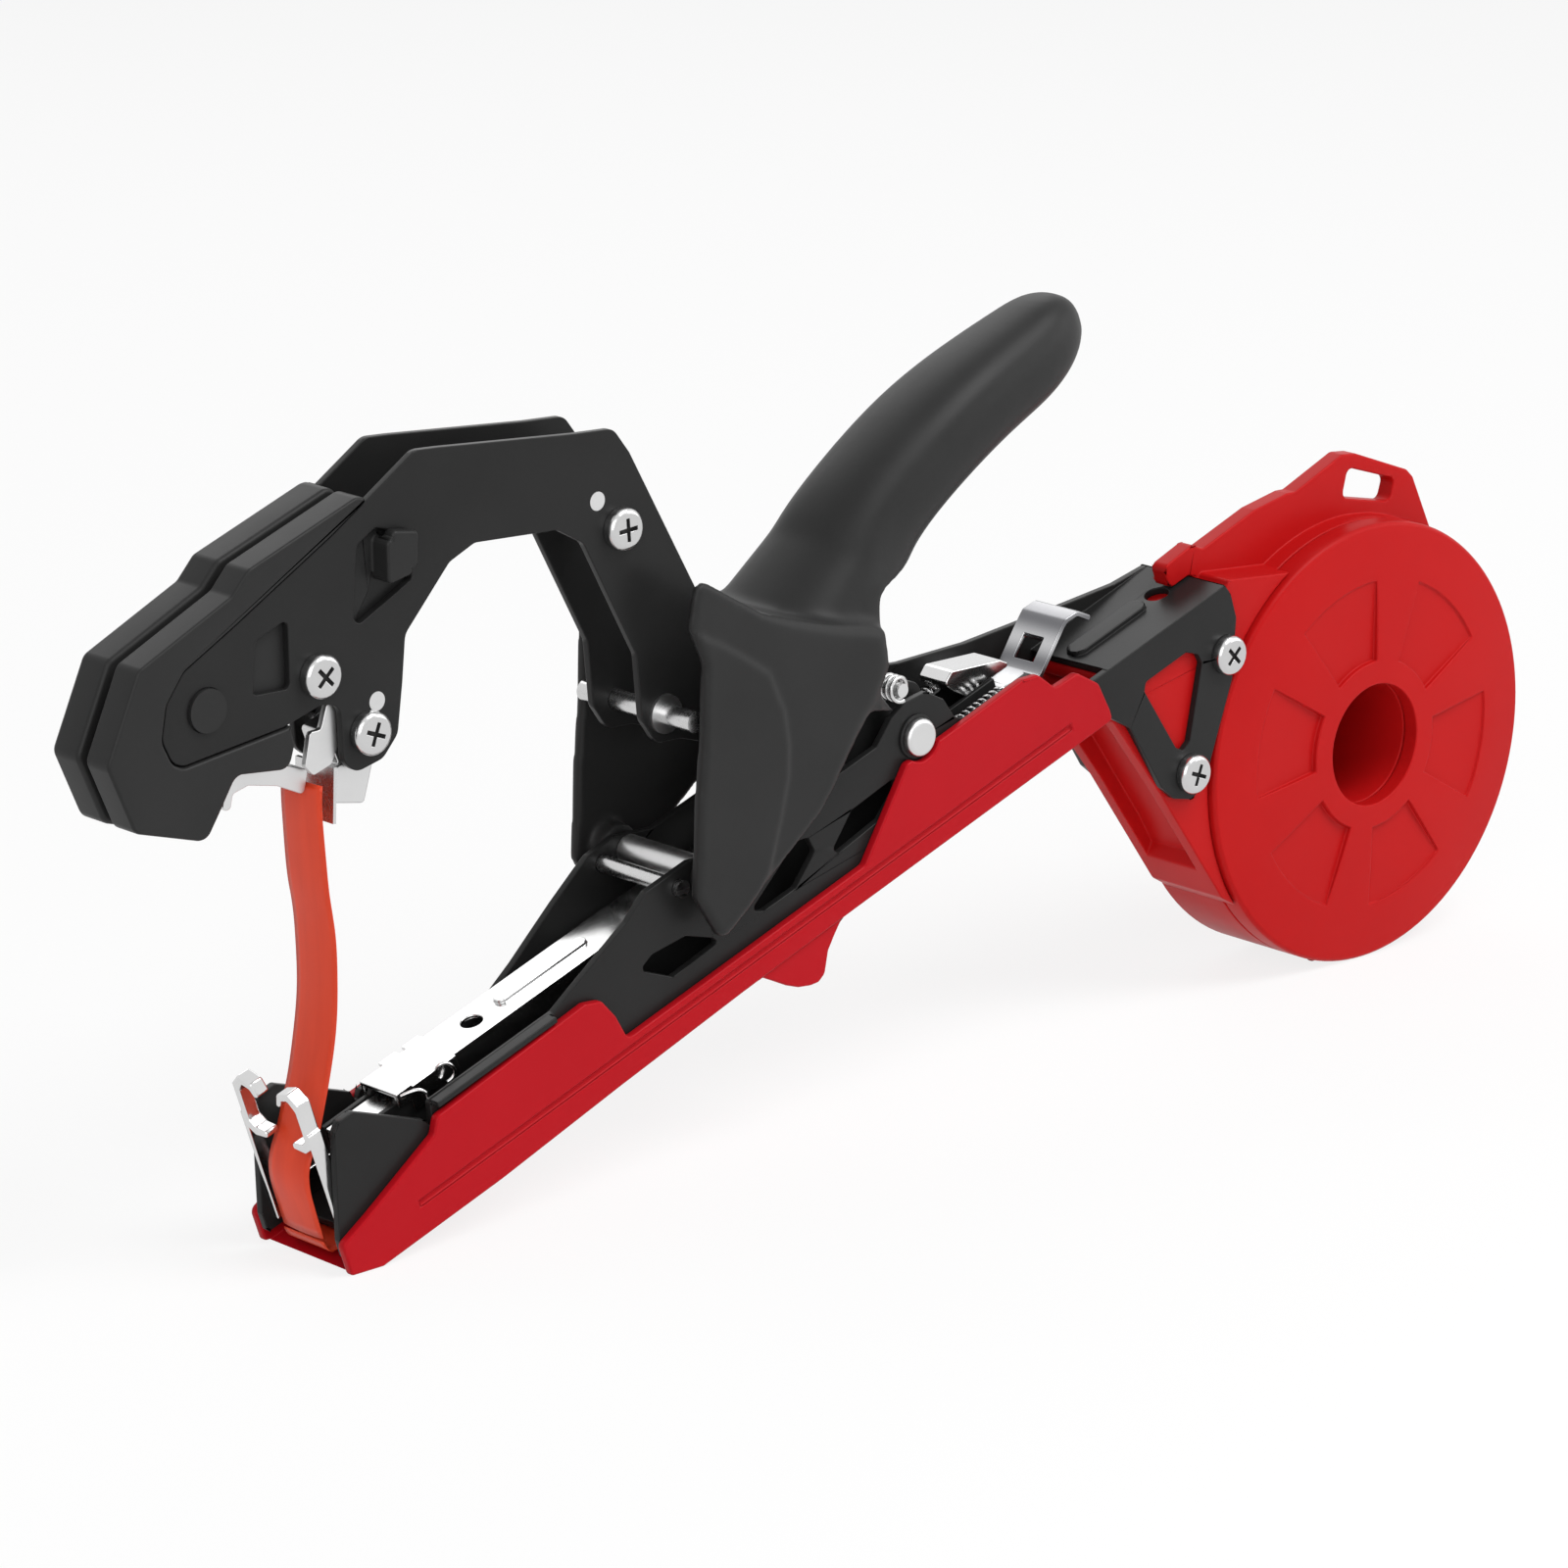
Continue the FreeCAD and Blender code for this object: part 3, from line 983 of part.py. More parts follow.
# Swinging arm
def arm_plate(side, name):
    body = new_body("arm_plate_" + name)
    loops = [arm_loop(ARM_SHARES, s.arm_corner)] + [arm_loop(shares, s.arm_window_corner) for shares in ARM_WINDOW_SHARES]
    holes = [(*ARM_PIVOT, "rivet_radius + running_clearance"), (*LINK_PIN, "link_pin_radius"), (*PLUG, "plug_radius")]
    holes += round_holes(ARM_SCREWS, "screw_radius") + round_holes(ARM_DOWELS, "dowel_radius")
    face = ARM_FACES[side]
    side_layer(body, side, loops, holes, f"{face} - arm_sheet", face)
    if side < 0:
        inner = f"{face} - arm_sheet"
        side_cut(body, side, [], [(*GRIPPER_PIN, "gripper_pin_radius")], f"{inner} - cut_overrun", f"{inner} + gripper_pin_depth")
    return body


def head_half(side, name):
    body = new_body("head_half_" + name)
    face = HEAD_FACES[side]
    side_layer(body, side, [arm_loop(HEAD_SHARES, s.head_corner)], [], "head_slit_half_width", face)
    recess = ring(grown(scaled(ARM_SHARES, ARM_PIVOT, s.arm_reach, s.arm_rise), s.head_pocket_gap), s.arm_corner)
    side_cut(body, side, [recess], [], f"{ARM_FACES[side]} - arm_sheet", f"{face} + cut_overrun")
    side_cut(body, side, [], [(*ARM_SCREWS[0], "screw_radius")], "head_slit_half_width - cut_overrun", face)
    if side < 0:
        side_layer(body, side, [arm_loop(STEM_SHARES, s.arm_window_corner)], [], "head_slit_half_width", "arm_half_width + button_height")
        side_layer(body, side, [arm_loop(BUTTON_SHARES, s.arm_window_corner)], [], "arm_half_width", "arm_half_width + button_height")
    return body


def head_plugs():
    body = new_body("head_plugs")
    for side in (-1, 1):
        face = ARM_FACES[side]
        side_layer(body, side, [], [(*PLUG, "plug_radius")], f"{face} - arm_sheet", f"{face} + plug_rise")
    return body


def arm_spacers():
    body = new_body("arm_spacers")
    near, far = (f"{ARM_FACES[side]} - arm_sheet" for side in (-1, 1))
    layer(body, "XZ_Plane", [], [(*ARM_SCREWS[2], "spacer_radius"), (*ARM_SCREWS[2], "screw_radius")], f"-({near})", far)
    for side, inner in ((-1, near), (1, far)):
        side_layer(body, side, [], [(*ARM_SCREWS[1], "spacer_radius"), (*ARM_SCREWS[1], "screw_radius")], "blade_tongue_half_width", inner)
    return body


def arm_bushes():
    """The bush between the arm plates and a washer outside each, all on the arm's rivet."""
    body = new_body("arm_bushes")
    bore = (*ARM_PIVOT, "rivet_radius + running_clearance")
    near, far = (f"{ARM_FACES[side]} - arm_sheet" for side in (-1, 1))
    layer(body, "XZ_Plane", [], [(*ARM_PIVOT, "rivet_bush_radius"), bore], f"-({near})", far)
    for side in (-1, 1):
        side_layer(body, side, [], [(*ARM_PIVOT, "rivet_washer_radius"), bore], ARM_FACES[side], "frame_half_width - frame_sheet")
    return body


def arm_pivot_rivet():
    body = new_body("arm_pivot_rivet")
    face = "frame_half_width + rivet_collar_height"
    layer(body, "XZ_Plane", [], [(*ARM_PIVOT, "rivet_radius")], f"-({face})", face)
    for side in (-1, 1):
        side_layer(body, side, [], [(*ARM_PIVOT, "rivet_head_radius")], face, f"{face} + rivet_head_height")
    names = [name for side in (-1, 1) for name in plane_edges(body.Shape, side * (s.frame_half_width + s.rivet_collar_height + s.rivet_head_height))]
    dress(body, "Fillet", names, "rivet_head_round")
    return body


def rivet_collars():
    body = new_body("rivet_collars")
    for side in (-1, 1):
        circles = [(*ARM_PIVOT, "rivet_collar_radius"), (*ARM_PIVOT, "rivet_radius")]
        side_layer(body, side, [], circles, "frame_half_width", "frame_half_width + rivet_collar_height")
    return body


def link_clips():
    body = new_body("link_clips")
    for side in (-1, 1):
        circles = [(*LINK_PIN, "link_clip_radius"), (*LINK_PIN, "link_pin_radius")]
        side_layer(body, side, [], circles, ARM_FACES[side], f"{ARM_FACES[side]} + link_clip_sheet")
    return body


def clincher_plate():
    body = new_body("clincher_plate")
    layer(body, "XZ_Plane", [arm_loop(CLINCHER_SHARES, s.clincher_corner)], [], "-clincher_half_width", "clincher_half_width")
    layer(body, "XZ_Plane", [arm_loop(CLINCHER_TONGUE_SHARES, 0)], [], "-head_slit_half_width", "head_slit_half_width")
    return body


def gripper_lever():
    body = new_body("gripper_lever")
    holes = [(*GRIPPER_PIN, "gripper_pin_radius + running_clearance")]
    side_layer(body, -1, [arm_loop(GRIPPER_SHARES, s.gripper_corner)], holes, "gripper_far", "gripper_near")
    return body


def blade_holder():
    body = new_body("blade_holder")
    layer(body, "XZ_Plane", [arm_loop(BLADE_HOLDER_SHARES, s.blade_corner)], [], "-blade_holder_half_width", "blade_holder_half_width")
    layer(body, "XZ_Plane", [arm_loop(BLADE_TONGUE_SHARES, s.blade_corner)], [], "-blade_tongue_half_width", "blade_tongue_half_width")
    hole = [(*ARM_SCREWS[1], "screw_radius")]
    cut(body, "XZ_Plane", [], hole, "-blade_holder_half_width - cut_overrun", "blade_holder_half_width + cut_overrun")
    return body


def cutter_blade():
    body = new_body("cutter_blade")
    layer(body, "XZ_Plane", [arm_loop(BLADE_SHARES, 0)], [], "-blade_half_width", "blade_half_width")
    return body


# Latch, lock and springs
def magazine_latch():
    body = new_body("magazine_latch")
    outline = ring(scaled(LATCH_SHARES, LATCH_PIN, s.latch_rise, s.latch_rise), s.latch_corner)
    layer(body, "XZ_Plane", [outline], [], "-latch_half_width", "latch_half_width")
    layer(body, "XZ_Plane", [], [(*LATCH_PIN, "latch_boss_radius")], "-latch_half_width", "latch_half_width")
    start, end = (LATCH_PIN[0] + share * s.latch_rise for share in LATCH_WINDOW_SHARES)
    window = ring(box(start, end, -s.latch_window_half_width, s.latch_window_half_width))
    cut(body, "XY_Plane", [window], [], "0", "frame_height + latch_rise")
    bore = [(*LATCH_PIN, "latch_pin_radius + running_clearance")]
    cut(body, "XZ_Plane", [], bore, "-latch_half_width - cut_overrun", "latch_half_width + cut_overrun")
    return body


def magazine_lock():
    body = new_body("magazine_lock")
    outline = scaled(LEVER_SHARES, (RAIL_END - s.lever_inset, s.rail_low_top), s.lever_length, s.lever_rise)
    layer(body, "XZ_Plane", [ring(outline, s.lever_corner)], [], "-lever_half_width", "lever_half_width")
    return body


def arc_from(start, direction, end):
    """The arc that leaves a point in a direction and ends at another, and its direction there."""
    chord = end - start
    along = FreeCAD.Vector(chord).normalize()
    aside = direction - along * direction.dot(along)
    if aside.Length < 1e-9:
        return Part.LineSegment(start, end), FreeCAD.Vector(along)
    turn = direction.getAngle(chord)
    middle = start + chord / 2 + aside.normalize() * (chord.Length / 2 * math.tan(turn / 2))
    return Part.Arc(start, middle, end), along * (2 * direction.dot(along)) - direction


def biarc(start, leaving, end, arriving):
    """Two arcs that meet smoothly, between two points with given directions."""
    span = end - start
    a = 2 * (1 - leaving.dot(arriving))
    b = 2 * span.dot(leaving + arriving)
    c = -span.dot(span)
    reach = (-b + math.sqrt(b * b - 4 * a * c)) / (2 * a) if abs(a) > 1e-9 else -c / b
    joint = (start + leaving * reach + end - arriving * reach) / 2
    first, turned = arc_from(start, leaving, joint)
    second, _ = arc_from(joint, turned, end)
    return [first, second]


def coil_points(centre, axis, first, radius, pitch, turns):
    """Points and directions of a coil at every quarter turn."""
    second = axis.cross(first)
    found = []
    for i in range(4 * turns + 1):
        angle = math.pi / 2 * i
        place = centre + first * (radius * math.cos(angle)) + second * (radius * math.sin(angle)) + axis * (pitch * i / 4)
        heading = first * (-radius * math.sin(angle)) + second * (radius * math.cos(angle)) + axis * (pitch / (2 * math.pi))
        found.append((place, heading.normalize()))
    return found


def coiled_wire(label, stations, wire, pitch):
    """One round wire through stations, and the least gap between its neighbouring turns."""
    edges = []
    for (start, leaving), (end, arriving) in zip(stations, stations[1:]):
        edges += [arc.toShape() for arc in biarc(start, leaving, end, arriving)]
    spine = Part.Wire(edges)
    profile = Part.Wire([Part.Circle(stations[0][0], stations[0][1], wire / 2).toShape()])
    shell = Part.BRepOffsetAPI.MakePipeShell(spine)
    shell.add(profile)
    assert shell.isReady()
    shell.build()
    assert shell.makeSolid()
    print(label, "least gap between turns", round(pitch - wire, 3))
    return shell.shape()


def spring_feature(label, shape):
    feature = doc.addObject("Part::Feature", label)
    feature.Shape = shape
    feature.Label = label
    return feature


def latch_springs():
    """Two tension springs beside the rail, each with a straight hook at both ends."""
    wires = []
    for side in (-1, 1):
        centre = FreeCAD.Vector(RAIL_END - s.latch_spring_inset, side * s.latch_spring_side, s.latch_spring_height)
        axis, first = FreeCAD.Vector(1, 0, 0), FreeCAD.Vector(0, 0, 1)
        turns = coil_points(centre, axis, first, s.latch_spring_radius, s.latch_spring_pitch, LATCH_SPRING_TURNS)
        hook = axis * s.latch_spring_hook
        inside = first * (-s.latch_spring_radius)
        lead = (turns[0][0] - hook + inside * 0.5, axis)
        tail = (turns[-1][0] + hook + inside * 0.5, axis)
        wires.append(coiled_wire("latch_springs", [lead, *turns, tail], s.latch_spring_wire, s.latch_spring_pitch))
    return spring_feature("latch_springs", Part.makeCompound(wires))


def return_spring():
    """The coil on the arm's post, with a straight leg toward the tail."""
    centre = FreeCAD.Vector(SPRING_POST[0], -s.return_spring_near, SPRING_POST[1])
    axis, first = FreeCAD.Vector(0, 1, 0), FreeCAD.Vector(0, 0, -1)
    turns = coil_points(centre, axis, first, s.return_spring_radius, s.return_spring_pitch, RETURN_SPRING_TURNS)
    heading = FreeCAD.Vector(turns[-1][1])
    end = turns[-1][0] + FreeCAD.Vector(heading.x, 0, heading.z).normalize() * s.return_spring_leg
    leg = (end, FreeCAD.Vector(heading.x, 0, heading.z).normalize())
    shape = coiled_wire("return_spring", [*turns, leg], s.return_spring_wire, s.return_spring_pitch)
    return spring_feature("return_spring", shape)


def spring_post():
    body = new_body("spring_post")
    side_layer(body, -1, [], [(*SPRING_POST, "spring_post_radius")], "arm_half_width", "spring_post_end")
    return body


# The whole tool
parts = [frame_channel(), bottom_cover(), reel_case(), reel_lid(), lid_hinge_pin()]
parts += [roll_ring("tape_roll", "case_radius - case_wall - roll_gap", "hub_hole_radius + hub_wall + core_clearance + core_wall")]
parts += [roll_ring("tape_core", "hub_hole_radius + hub_wall + core_clearance + core_wall", "hub_hole_radius + hub_wall + core_clearance")]
parts += [tape_strip("tape_run", hidden_path(), s.tape_bend)]
span_reach = (TAPE_END[0] - s.tape_start_forward) / TAPE_SPAN_SHARES[-1][0]
span_rise = TAPE_END[1] / TAPE_SPAN_SHARES[-1][1]
parts += [tape_strip("tape_span", scaled(TAPE_SPAN_SHARES, (s.tape_start_forward, 0), span_reach, span_rise), s.tape_sweep)]
parts += [pins("tape_guide_pin", [GUIDE_PIN], "guide_pin_radius", "-neck_half_width", "neck_half_width")]
parts += [screws("reel_screws", EAR_SCREWS, "frame_half_width", "frame_half_width + nut_height")]
parts += [nuts("reel_nuts", EAR_SCREWS, "frame_half_width")]
parts += [magazine_rail(), magazine_cover(), staple_stick(), staple_driver(), staple_pusher()]
rod_start, rod_end = "rail_start + rail_end_wall", "frame_length - frame_web_inset - rail_inset - rail_end_wall"
parts += [along_body("pusher_rod", ["rod_radius"], rod_start, rod_end)]
pusher_back = "staple_start + staple_stack_length + pusher_clearance * 2 + pusher_length"
parts += [along_body("pusher_spring", ["spring_radius", "spring_bore"], pusher_back, rod_end)]
parts += [tape_catcher(side, name) for side, name in SIDES]
parts += [handle_grip()]
parts += [pins("handle_pivot_pin", [HANDLE_PIVOT], "pivot_pin_radius", "-pivot_pin_end", "pivot_pin_end")]
parts += [pins("stop_pin", [STOP_PIN], "stop_pin_radius", "-stop_pin_end", "frame_half_width")]
sleeve = new_body("pivot_sleeve")
layer(sleeve, "XZ_Plane", [], [(*HANDLE_PIVOT, "pivot_sleeve_radius"), (*HANDLE_PIVOT, "pivot_pin_radius")], "-pivot_sleeve_end", "pivot_sleeve_end")
parts += [sleeve]
parts += [arm_plate(side, name) for side, name in SIDES]
parts += [head_half(side, name) for side, name in SIDES]
parts += [head_plugs(), arm_spacers(), arm_bushes(), arm_pivot_rivet(), rivet_collars()]
parts += [screws("arm_screws", ARM_SCREWS, "arm_half_width", "arm_far_half_width + nut_height")]
parts += [nuts("arm_nuts", ARM_SCREWS, "arm_far_half_width")]
parts += [pins("dowel_pins", ARM_DOWELS, "dowel_radius", "-arm_half_width", "arm_far_half_width")]
parts += [pins("link_pin", [LINK_PIN], "link_pin_radius", "-link_pin_end", "link_pin_end"), link_clips()]
pin_start = "-(arm_half_width - arm_sheet + gripper_pin_depth)"
parts += [pins("gripper_pin", [GRIPPER_PIN], "gripper_pin_radius", pin_start, "-gripper_pin_inner")]
parts += [clincher_plate(), gripper_lever(), blade_holder(), cutter_blade()]
parts += [pins("latch_pin", [LATCH_PIN], "latch_pin_radius", "-frame_half_width", "frame_half_width")]
parts += [magazine_latch(), magazine_lock(), latch_springs(), return_spring(), spring_post()]

doc.recompute()
for item in doc.Objects:
    assert "Invalid" not in item.State and "Error" not in item.State, (item.Label, item.State)
os.makedirs("parts", exist_ok=True)
for part in parts:
    part.Placement = STANDING
doc.recompute()
for part in parts:
    assert not part.Shape.isNull() and part.Shape.isValid(), part.Label
    part.Shape.exportStep(f"parts/{part.Label}.step")
    bounds = part.Shape.BoundBox
    print(part.Label, len(part.Shape.Solids), round(bounds.XMin, 1), round(bounds.XMax, 1), round(bounds.ZMin, 1), round(bounds.ZMax, 1))
print("lean in degrees", round(math.degrees(LEAN), 3), "parts", len(parts))
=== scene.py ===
import json
import math

import bmesh
import bpy
import numpy
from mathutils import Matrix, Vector


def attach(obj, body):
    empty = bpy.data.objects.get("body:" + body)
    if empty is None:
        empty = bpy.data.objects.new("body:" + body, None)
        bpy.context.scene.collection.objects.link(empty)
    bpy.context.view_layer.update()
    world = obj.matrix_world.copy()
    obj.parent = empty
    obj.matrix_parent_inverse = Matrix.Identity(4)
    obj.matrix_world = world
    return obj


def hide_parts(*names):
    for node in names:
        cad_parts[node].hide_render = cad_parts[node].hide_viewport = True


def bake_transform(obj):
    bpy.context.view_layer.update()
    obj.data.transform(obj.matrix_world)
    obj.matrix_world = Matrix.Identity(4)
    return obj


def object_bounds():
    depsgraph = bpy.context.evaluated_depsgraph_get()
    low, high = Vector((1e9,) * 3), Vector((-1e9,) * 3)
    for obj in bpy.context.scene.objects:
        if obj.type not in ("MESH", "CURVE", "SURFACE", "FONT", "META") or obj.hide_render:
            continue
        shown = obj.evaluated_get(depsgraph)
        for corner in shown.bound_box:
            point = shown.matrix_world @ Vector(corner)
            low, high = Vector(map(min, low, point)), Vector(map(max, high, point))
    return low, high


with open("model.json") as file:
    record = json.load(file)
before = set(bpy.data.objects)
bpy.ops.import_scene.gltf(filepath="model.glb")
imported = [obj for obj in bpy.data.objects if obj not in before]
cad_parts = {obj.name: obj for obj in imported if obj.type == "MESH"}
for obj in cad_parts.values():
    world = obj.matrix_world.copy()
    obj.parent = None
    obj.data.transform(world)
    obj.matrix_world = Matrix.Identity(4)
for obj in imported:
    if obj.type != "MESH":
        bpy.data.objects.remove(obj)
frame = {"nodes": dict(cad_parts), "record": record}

# Plant tying tool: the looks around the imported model. Metres, +Z up, +X from the nose
# towards the reel, the photographed side at -Y.

CAD_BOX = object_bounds()
MM = 0.001
NODES = frame["nodes"]
BODY_OF = {node: body for body, members in frame["record"]["behaviour"]["bodies"].items() for node in members}
SLOT_OF = {entry["node"]: entry["material_slot"] for entry in frame["record"]["subparts"]}

# The camera stands where the photograph was taken from, with the same long lens
AIM = Vector((0.11006, 0.0, 0.06293))
CAMERA_TURN = math.radians(-43.0)
CAMERA_RISE = math.radians(16.35)
CAMERA_DISTANCE = 1.2
CAMERA_LENS = 151.2
CAMERA_SENSOR = 36.0
CAMERA_CLIP = (0.05, 20.0)

# The body leans back on its sole and the reel's rim; its own place on that sole, in millimetres
BODY_LEAN = math.radians(18.997)
SOLE_MIDDLE = (2.709, -0.8605)


def placed(along, up, across=0.0):
    """A place given in millimetres along the body, square to it and across it."""
    ahead, above = along - SOLE_MIDDLE[0], up - SOLE_MIDDLE[1]
    forward = ahead * math.cos(BODY_LEAN) - above * math.sin(BODY_LEAN)
    height = ahead * math.sin(BODY_LEAN) + above * math.cos(BODY_LEAN)
    return Vector((forward, across, height)) * MM


# Shader maths
class Wire:
    """One value that comes out of a node; each sum or product adds its Math node."""

    def __init__(self, finish, socket):
        self.finish = finish
        self.socket = socket

    def maths(self, operation, *values):
        return self.finish.node("Math", "Value", {i: value for i, value in enumerate(values)}, operation=operation)

    def __add__(self, other):
        return self.maths("ADD", self, other)

    __radd__ = __add__

    def __sub__(self, other):
        return self.maths("SUBTRACT", self, other)

    def __mul__(self, other):
        return self.maths("MULTIPLY", self, other)

    def wave(self):
        return self.maths("SINE", self)


class Finish:
    """A material's node tree around one Principled shader."""

    def __init__(self, name, **plain):
        self.material = bpy.data.materials.new(name)
        self.material.use_nodes = True
        self.tree = self.material.node_tree
        self.shader = self.tree.nodes["Principled BSDF"]
        for label, value in plain.items():
            self.shader.inputs[label.replace("_", " ")].default_value = value

    def node(self, kind, output, inputs, **settings):
        """Any node by its type: its settings first, then its sockets' values or links. Gives one output."""
        made = self.tree.nodes.new("ShaderNode" + kind)
        for name, value in settings.items():
            setattr(made, name, value)
        for name, value in inputs.items():
            self.feed(made.inputs[name], value)
        return Wire(self, made.outputs[output])

    def feed(self, socket, value):
        if isinstance(value, Wire):
            self.tree.links.new(value.socket, socket)
        elif hasattr(value, "__len__") and len(value) == 3 and socket.type == "RGBA":
            socket.default_value = (*value, 1.0)
        else:
            socket.default_value = value

    def place(self):
        return self.node("TexCoord", "Object", {})

    def grain(self, scale, detail=3.0, stretch=(1.0, 1.0, 1.0)):
        """Noise with a size of about one over the scale, in metres."""
        spot = self.node("Mapping", "Vector", {"Vector": self.place(), "Scale": stretch})
        return self.node("TexNoise", "Fac", {"Vector": spot, "Scale": scale, "Detail": detail})

    def between(self, factor, low, high):
        """A colour between two, by a factor."""
        return self.node("MixRGB", "Color", {"Fac": factor, "Color1": low, "Color2": high})

    def paint(self, **inputs):
        for label, value in inputs.items():
            self.feed(self.shader.inputs[label.replace("_", " ")], value)

    def bump(self, height, strength, distance):
        lifted = self.node("Bump", "Normal", {"Height": height, "Strength": strength, "Distance": distance})
        self.paint(Normal=lifted)


def satin_black(name, tone, shine, grit):
    """Black paint or plastic: a fine orange peel, with faint cloudy wear in its shine."""
    finish = Finish(name, Specular_IOR_Level=0.15)
    cloud = finish.grain(55.0, 4.0)
    peel = finish.grain(grit, 2.0)
    low = tuple(tone * 0.8 for _ in range(3))
    high = tuple(tone * 1.2 for _ in range(3))
    finish.paint(Base_Color=finish.between(cloud, low, high))
    finish.paint(Roughness=shine + (cloud - 0.5) * 0.16)
    finish.bump(peel, 0.25, 0.00004)
    return finish.material


def moulded_red(name, low, high, shine):
    """Red moulded plastic: barely mottled, with a soft flow pattern in its gloss."""
    finish = Finish(name, Specular_IOR_Level=0.09)
    cloud = finish.grain(30.0, 4.0)
    flow = finish.grain(120.0, 3.0, (0.3, 1.0, 1.0))
    peel = finish.grain(1500.0, 2.0)
    finish.paint(Base_Color=finish.between(cloud, low, high))
    finish.paint(Roughness=shine + (flow - 0.5) * 0.12)
    finish.bump(peel, 0.18, 0.00003)
    return finish.material


def plated(name, tone, shine, brushed):
    """Plated or bare metal with fine drawn lines."""
    finish = Finish(name, Metallic=1.0)
    lines = finish.grain(900.0, 3.0, (0.06, 1.0, 1.0))
    cloud = finish.grain(70.0, 3.0)
    low = tuple(tone * 0.9 for _ in range(3))
    high = tuple(min(tone * 1.06, 1.0) for _ in range(3))
    finish.paint(Base_Color=finish.between(cloud, low, high))
    finish.paint(Roughness=shine + (lines - 0.5) * brushed)
    finish.bump(lines, 0.12, 0.00002)
    return finish.material


def curled_sheen(name):
    """Spring steel rolled to a curl, with a painted reflection: its base colour goes from bright to dark in bands
    along its height.
    """
    finish = Finish(name, Metallic=1.0)
    height = finish.node("SeparateXYZ", "Z", {"Vector": finish.place()})
    # Painted reflection: the base colour rises and falls in bands along the height, standing in for a curled
    # plating's reflections
    wave = (height * 900.0).wave() * 0.5 + 0.5
    lines = finish.grain(900.0, 3.0, (0.06, 1.0, 1.0))
    finish.paint(Base_Color=finish.between(wave, (0.17, 0.17, 0.18), (0.52, 0.52, 0.53)))
    finish.paint(Roughness=0.24 + (lines - 0.5) * 0.14)
    return finish.material


def tying_tape(name):
    """Thin stretched film: orange red, slightly streaked along its length."""
    finish = Finish(name, Specular_IOR_Level=0.22)
    streaks = finish.grain(380.0, 3.0, (1.0, 1.0, 0.05))
    finish.paint(Base_Color=finish.between(streaks, (0.60, 0.040, 0.012), (0.78, 0.070, 0.024)))
    finish.paint(Roughness=0.34 + (streaks - 0.5) * 0.15)
    finish.bump(streaks, 0.2, 0.00004)
    return finish.material


def core_card(name):
    finish = Finish(name, Specular_IOR_Level=0.2)
    fibres = finish.grain(700.0, 5.0)
    finish.paint(Base_Color=finish.between(fibres, (0.30, 0.20, 0.12), (0.52, 0.38, 0.25)))
    finish.paint(Roughness=0.85 + (fibres - 0.5) * 0.1)
    finish.bump(fibres, 0.3, 0.0001)
    return finish.material


FINISHES = {
    "black_steel": satin_black("black_steel_paint", 0.015, 0.34, 1300.0),
    "black_plastic": satin_black("black_moulded_plastic", 0.020, 0.42, 900.0),
    "red_plastic": moulded_red("red_cover_plastic", (0.38, 0.004, 0.009), (0.45, 0.006, 0.012), 0.34),
    "reel_plastic": moulded_red("red_reel_plastic", (0.41, 0.005, 0.006), (0.48, 0.008, 0.008), 0.38),
    "chrome": plated("bright_plating", 0.70, 0.16, 0.12),
    "steel": plated("drawn_steel", 0.62, 0.26, 0.18),
    "zinc": plated("zinc_plating", 0.66, 0.34, 0.16),
    "tape": tying_tape("orange_tying_tape"),
    "card": core_card("grey_core_card"),
}
# Pieces whose own plating is duller or darker than their slot's plain finish; the latch's plating also has a painted
# reflection in bands
OWN_FINISHES = {
    "arm_screws": plated("screw_plating", 0.60, 0.20, 0.12),
    "magazine_latch": curled_sheen("latch_plating_painted_sheen"),
    "magazine_cover": plated("cover_plate_plating", 0.56, 0.20, 0.14),
    "tape_catcher_near": plated("catcher_plating", 0.68, 0.16, 0.10),
}
OWN_FINISHES["reel_screws"] = OWN_FINISHES["arm_screws"]
OWN_FINISHES["tape_catcher_far"] = OWN_FINISHES["tape_catcher_near"]
# A dark material that is painted shade inside the screws' cross recesses
RECESS_PAINTED_SHADE = satin_black("recess_painted_shade", 0.030, 0.60, 900.0)


# Ways of making pieces
def finished(piece, body, slot, *nodes):
    """Puts a new piece on its body, gives it the finish of a slot and hides the nodes that it stands for."""
    if piece.name not in bpy.context.scene.collection.objects:
        bpy.context.scene.collection.objects.link(piece)
    piece.data.materials.clear()
    piece.data.materials.append(next((OWN_FINISHES[node] for node in nodes if node in OWN_FINISHES), FINISHES[slot]))
    if body:
        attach(piece, body)
    if nodes:
        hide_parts(*nodes)
    return piece


# Faces that turn less than this are one flat face, and corners nearer than this are one corner
FLAT_ANGLE = math.radians(0.08)
SAME_CORNER = 0.002 * MM
# Nodes whose flat faces have holes near their edges: these keep more of their own faces
HOLED_NODES = ("reel_case", "frame_channel")
# Edges that turn more than this are rounded over, in this many steps
NODE_EDGE_TURN = math.radians(28.0)
DETAIL_EDGE_TURN = math.radians(30.0)
EDGE_STEPS = 2


def shaded_smooth(mesh):
    for polygon in mesh.polygons:
        polygon.use_smooth = True


def rounded(piece, edge, turn=DETAIL_EDGE_TURN, kept_apart=True):
    """Rounds a piece's hard edges; the edge is in millimetres."""
    shaded_smooth(piece.data)
    rounding = piece.modifiers.new("rounded_edges", "BEVEL")
    rounding.width = edge * MM
    rounding.segments = EDGE_STEPS
    rounding.limit_method = "ANGLE"
    rounding.angle_limit = turn
    rounding.use_clamp_overlap = kept_apart
    even = piece.modifiers.new("even_shading", "WEIGHTED_NORMAL")
    even.keep_sharp = True
    return piece


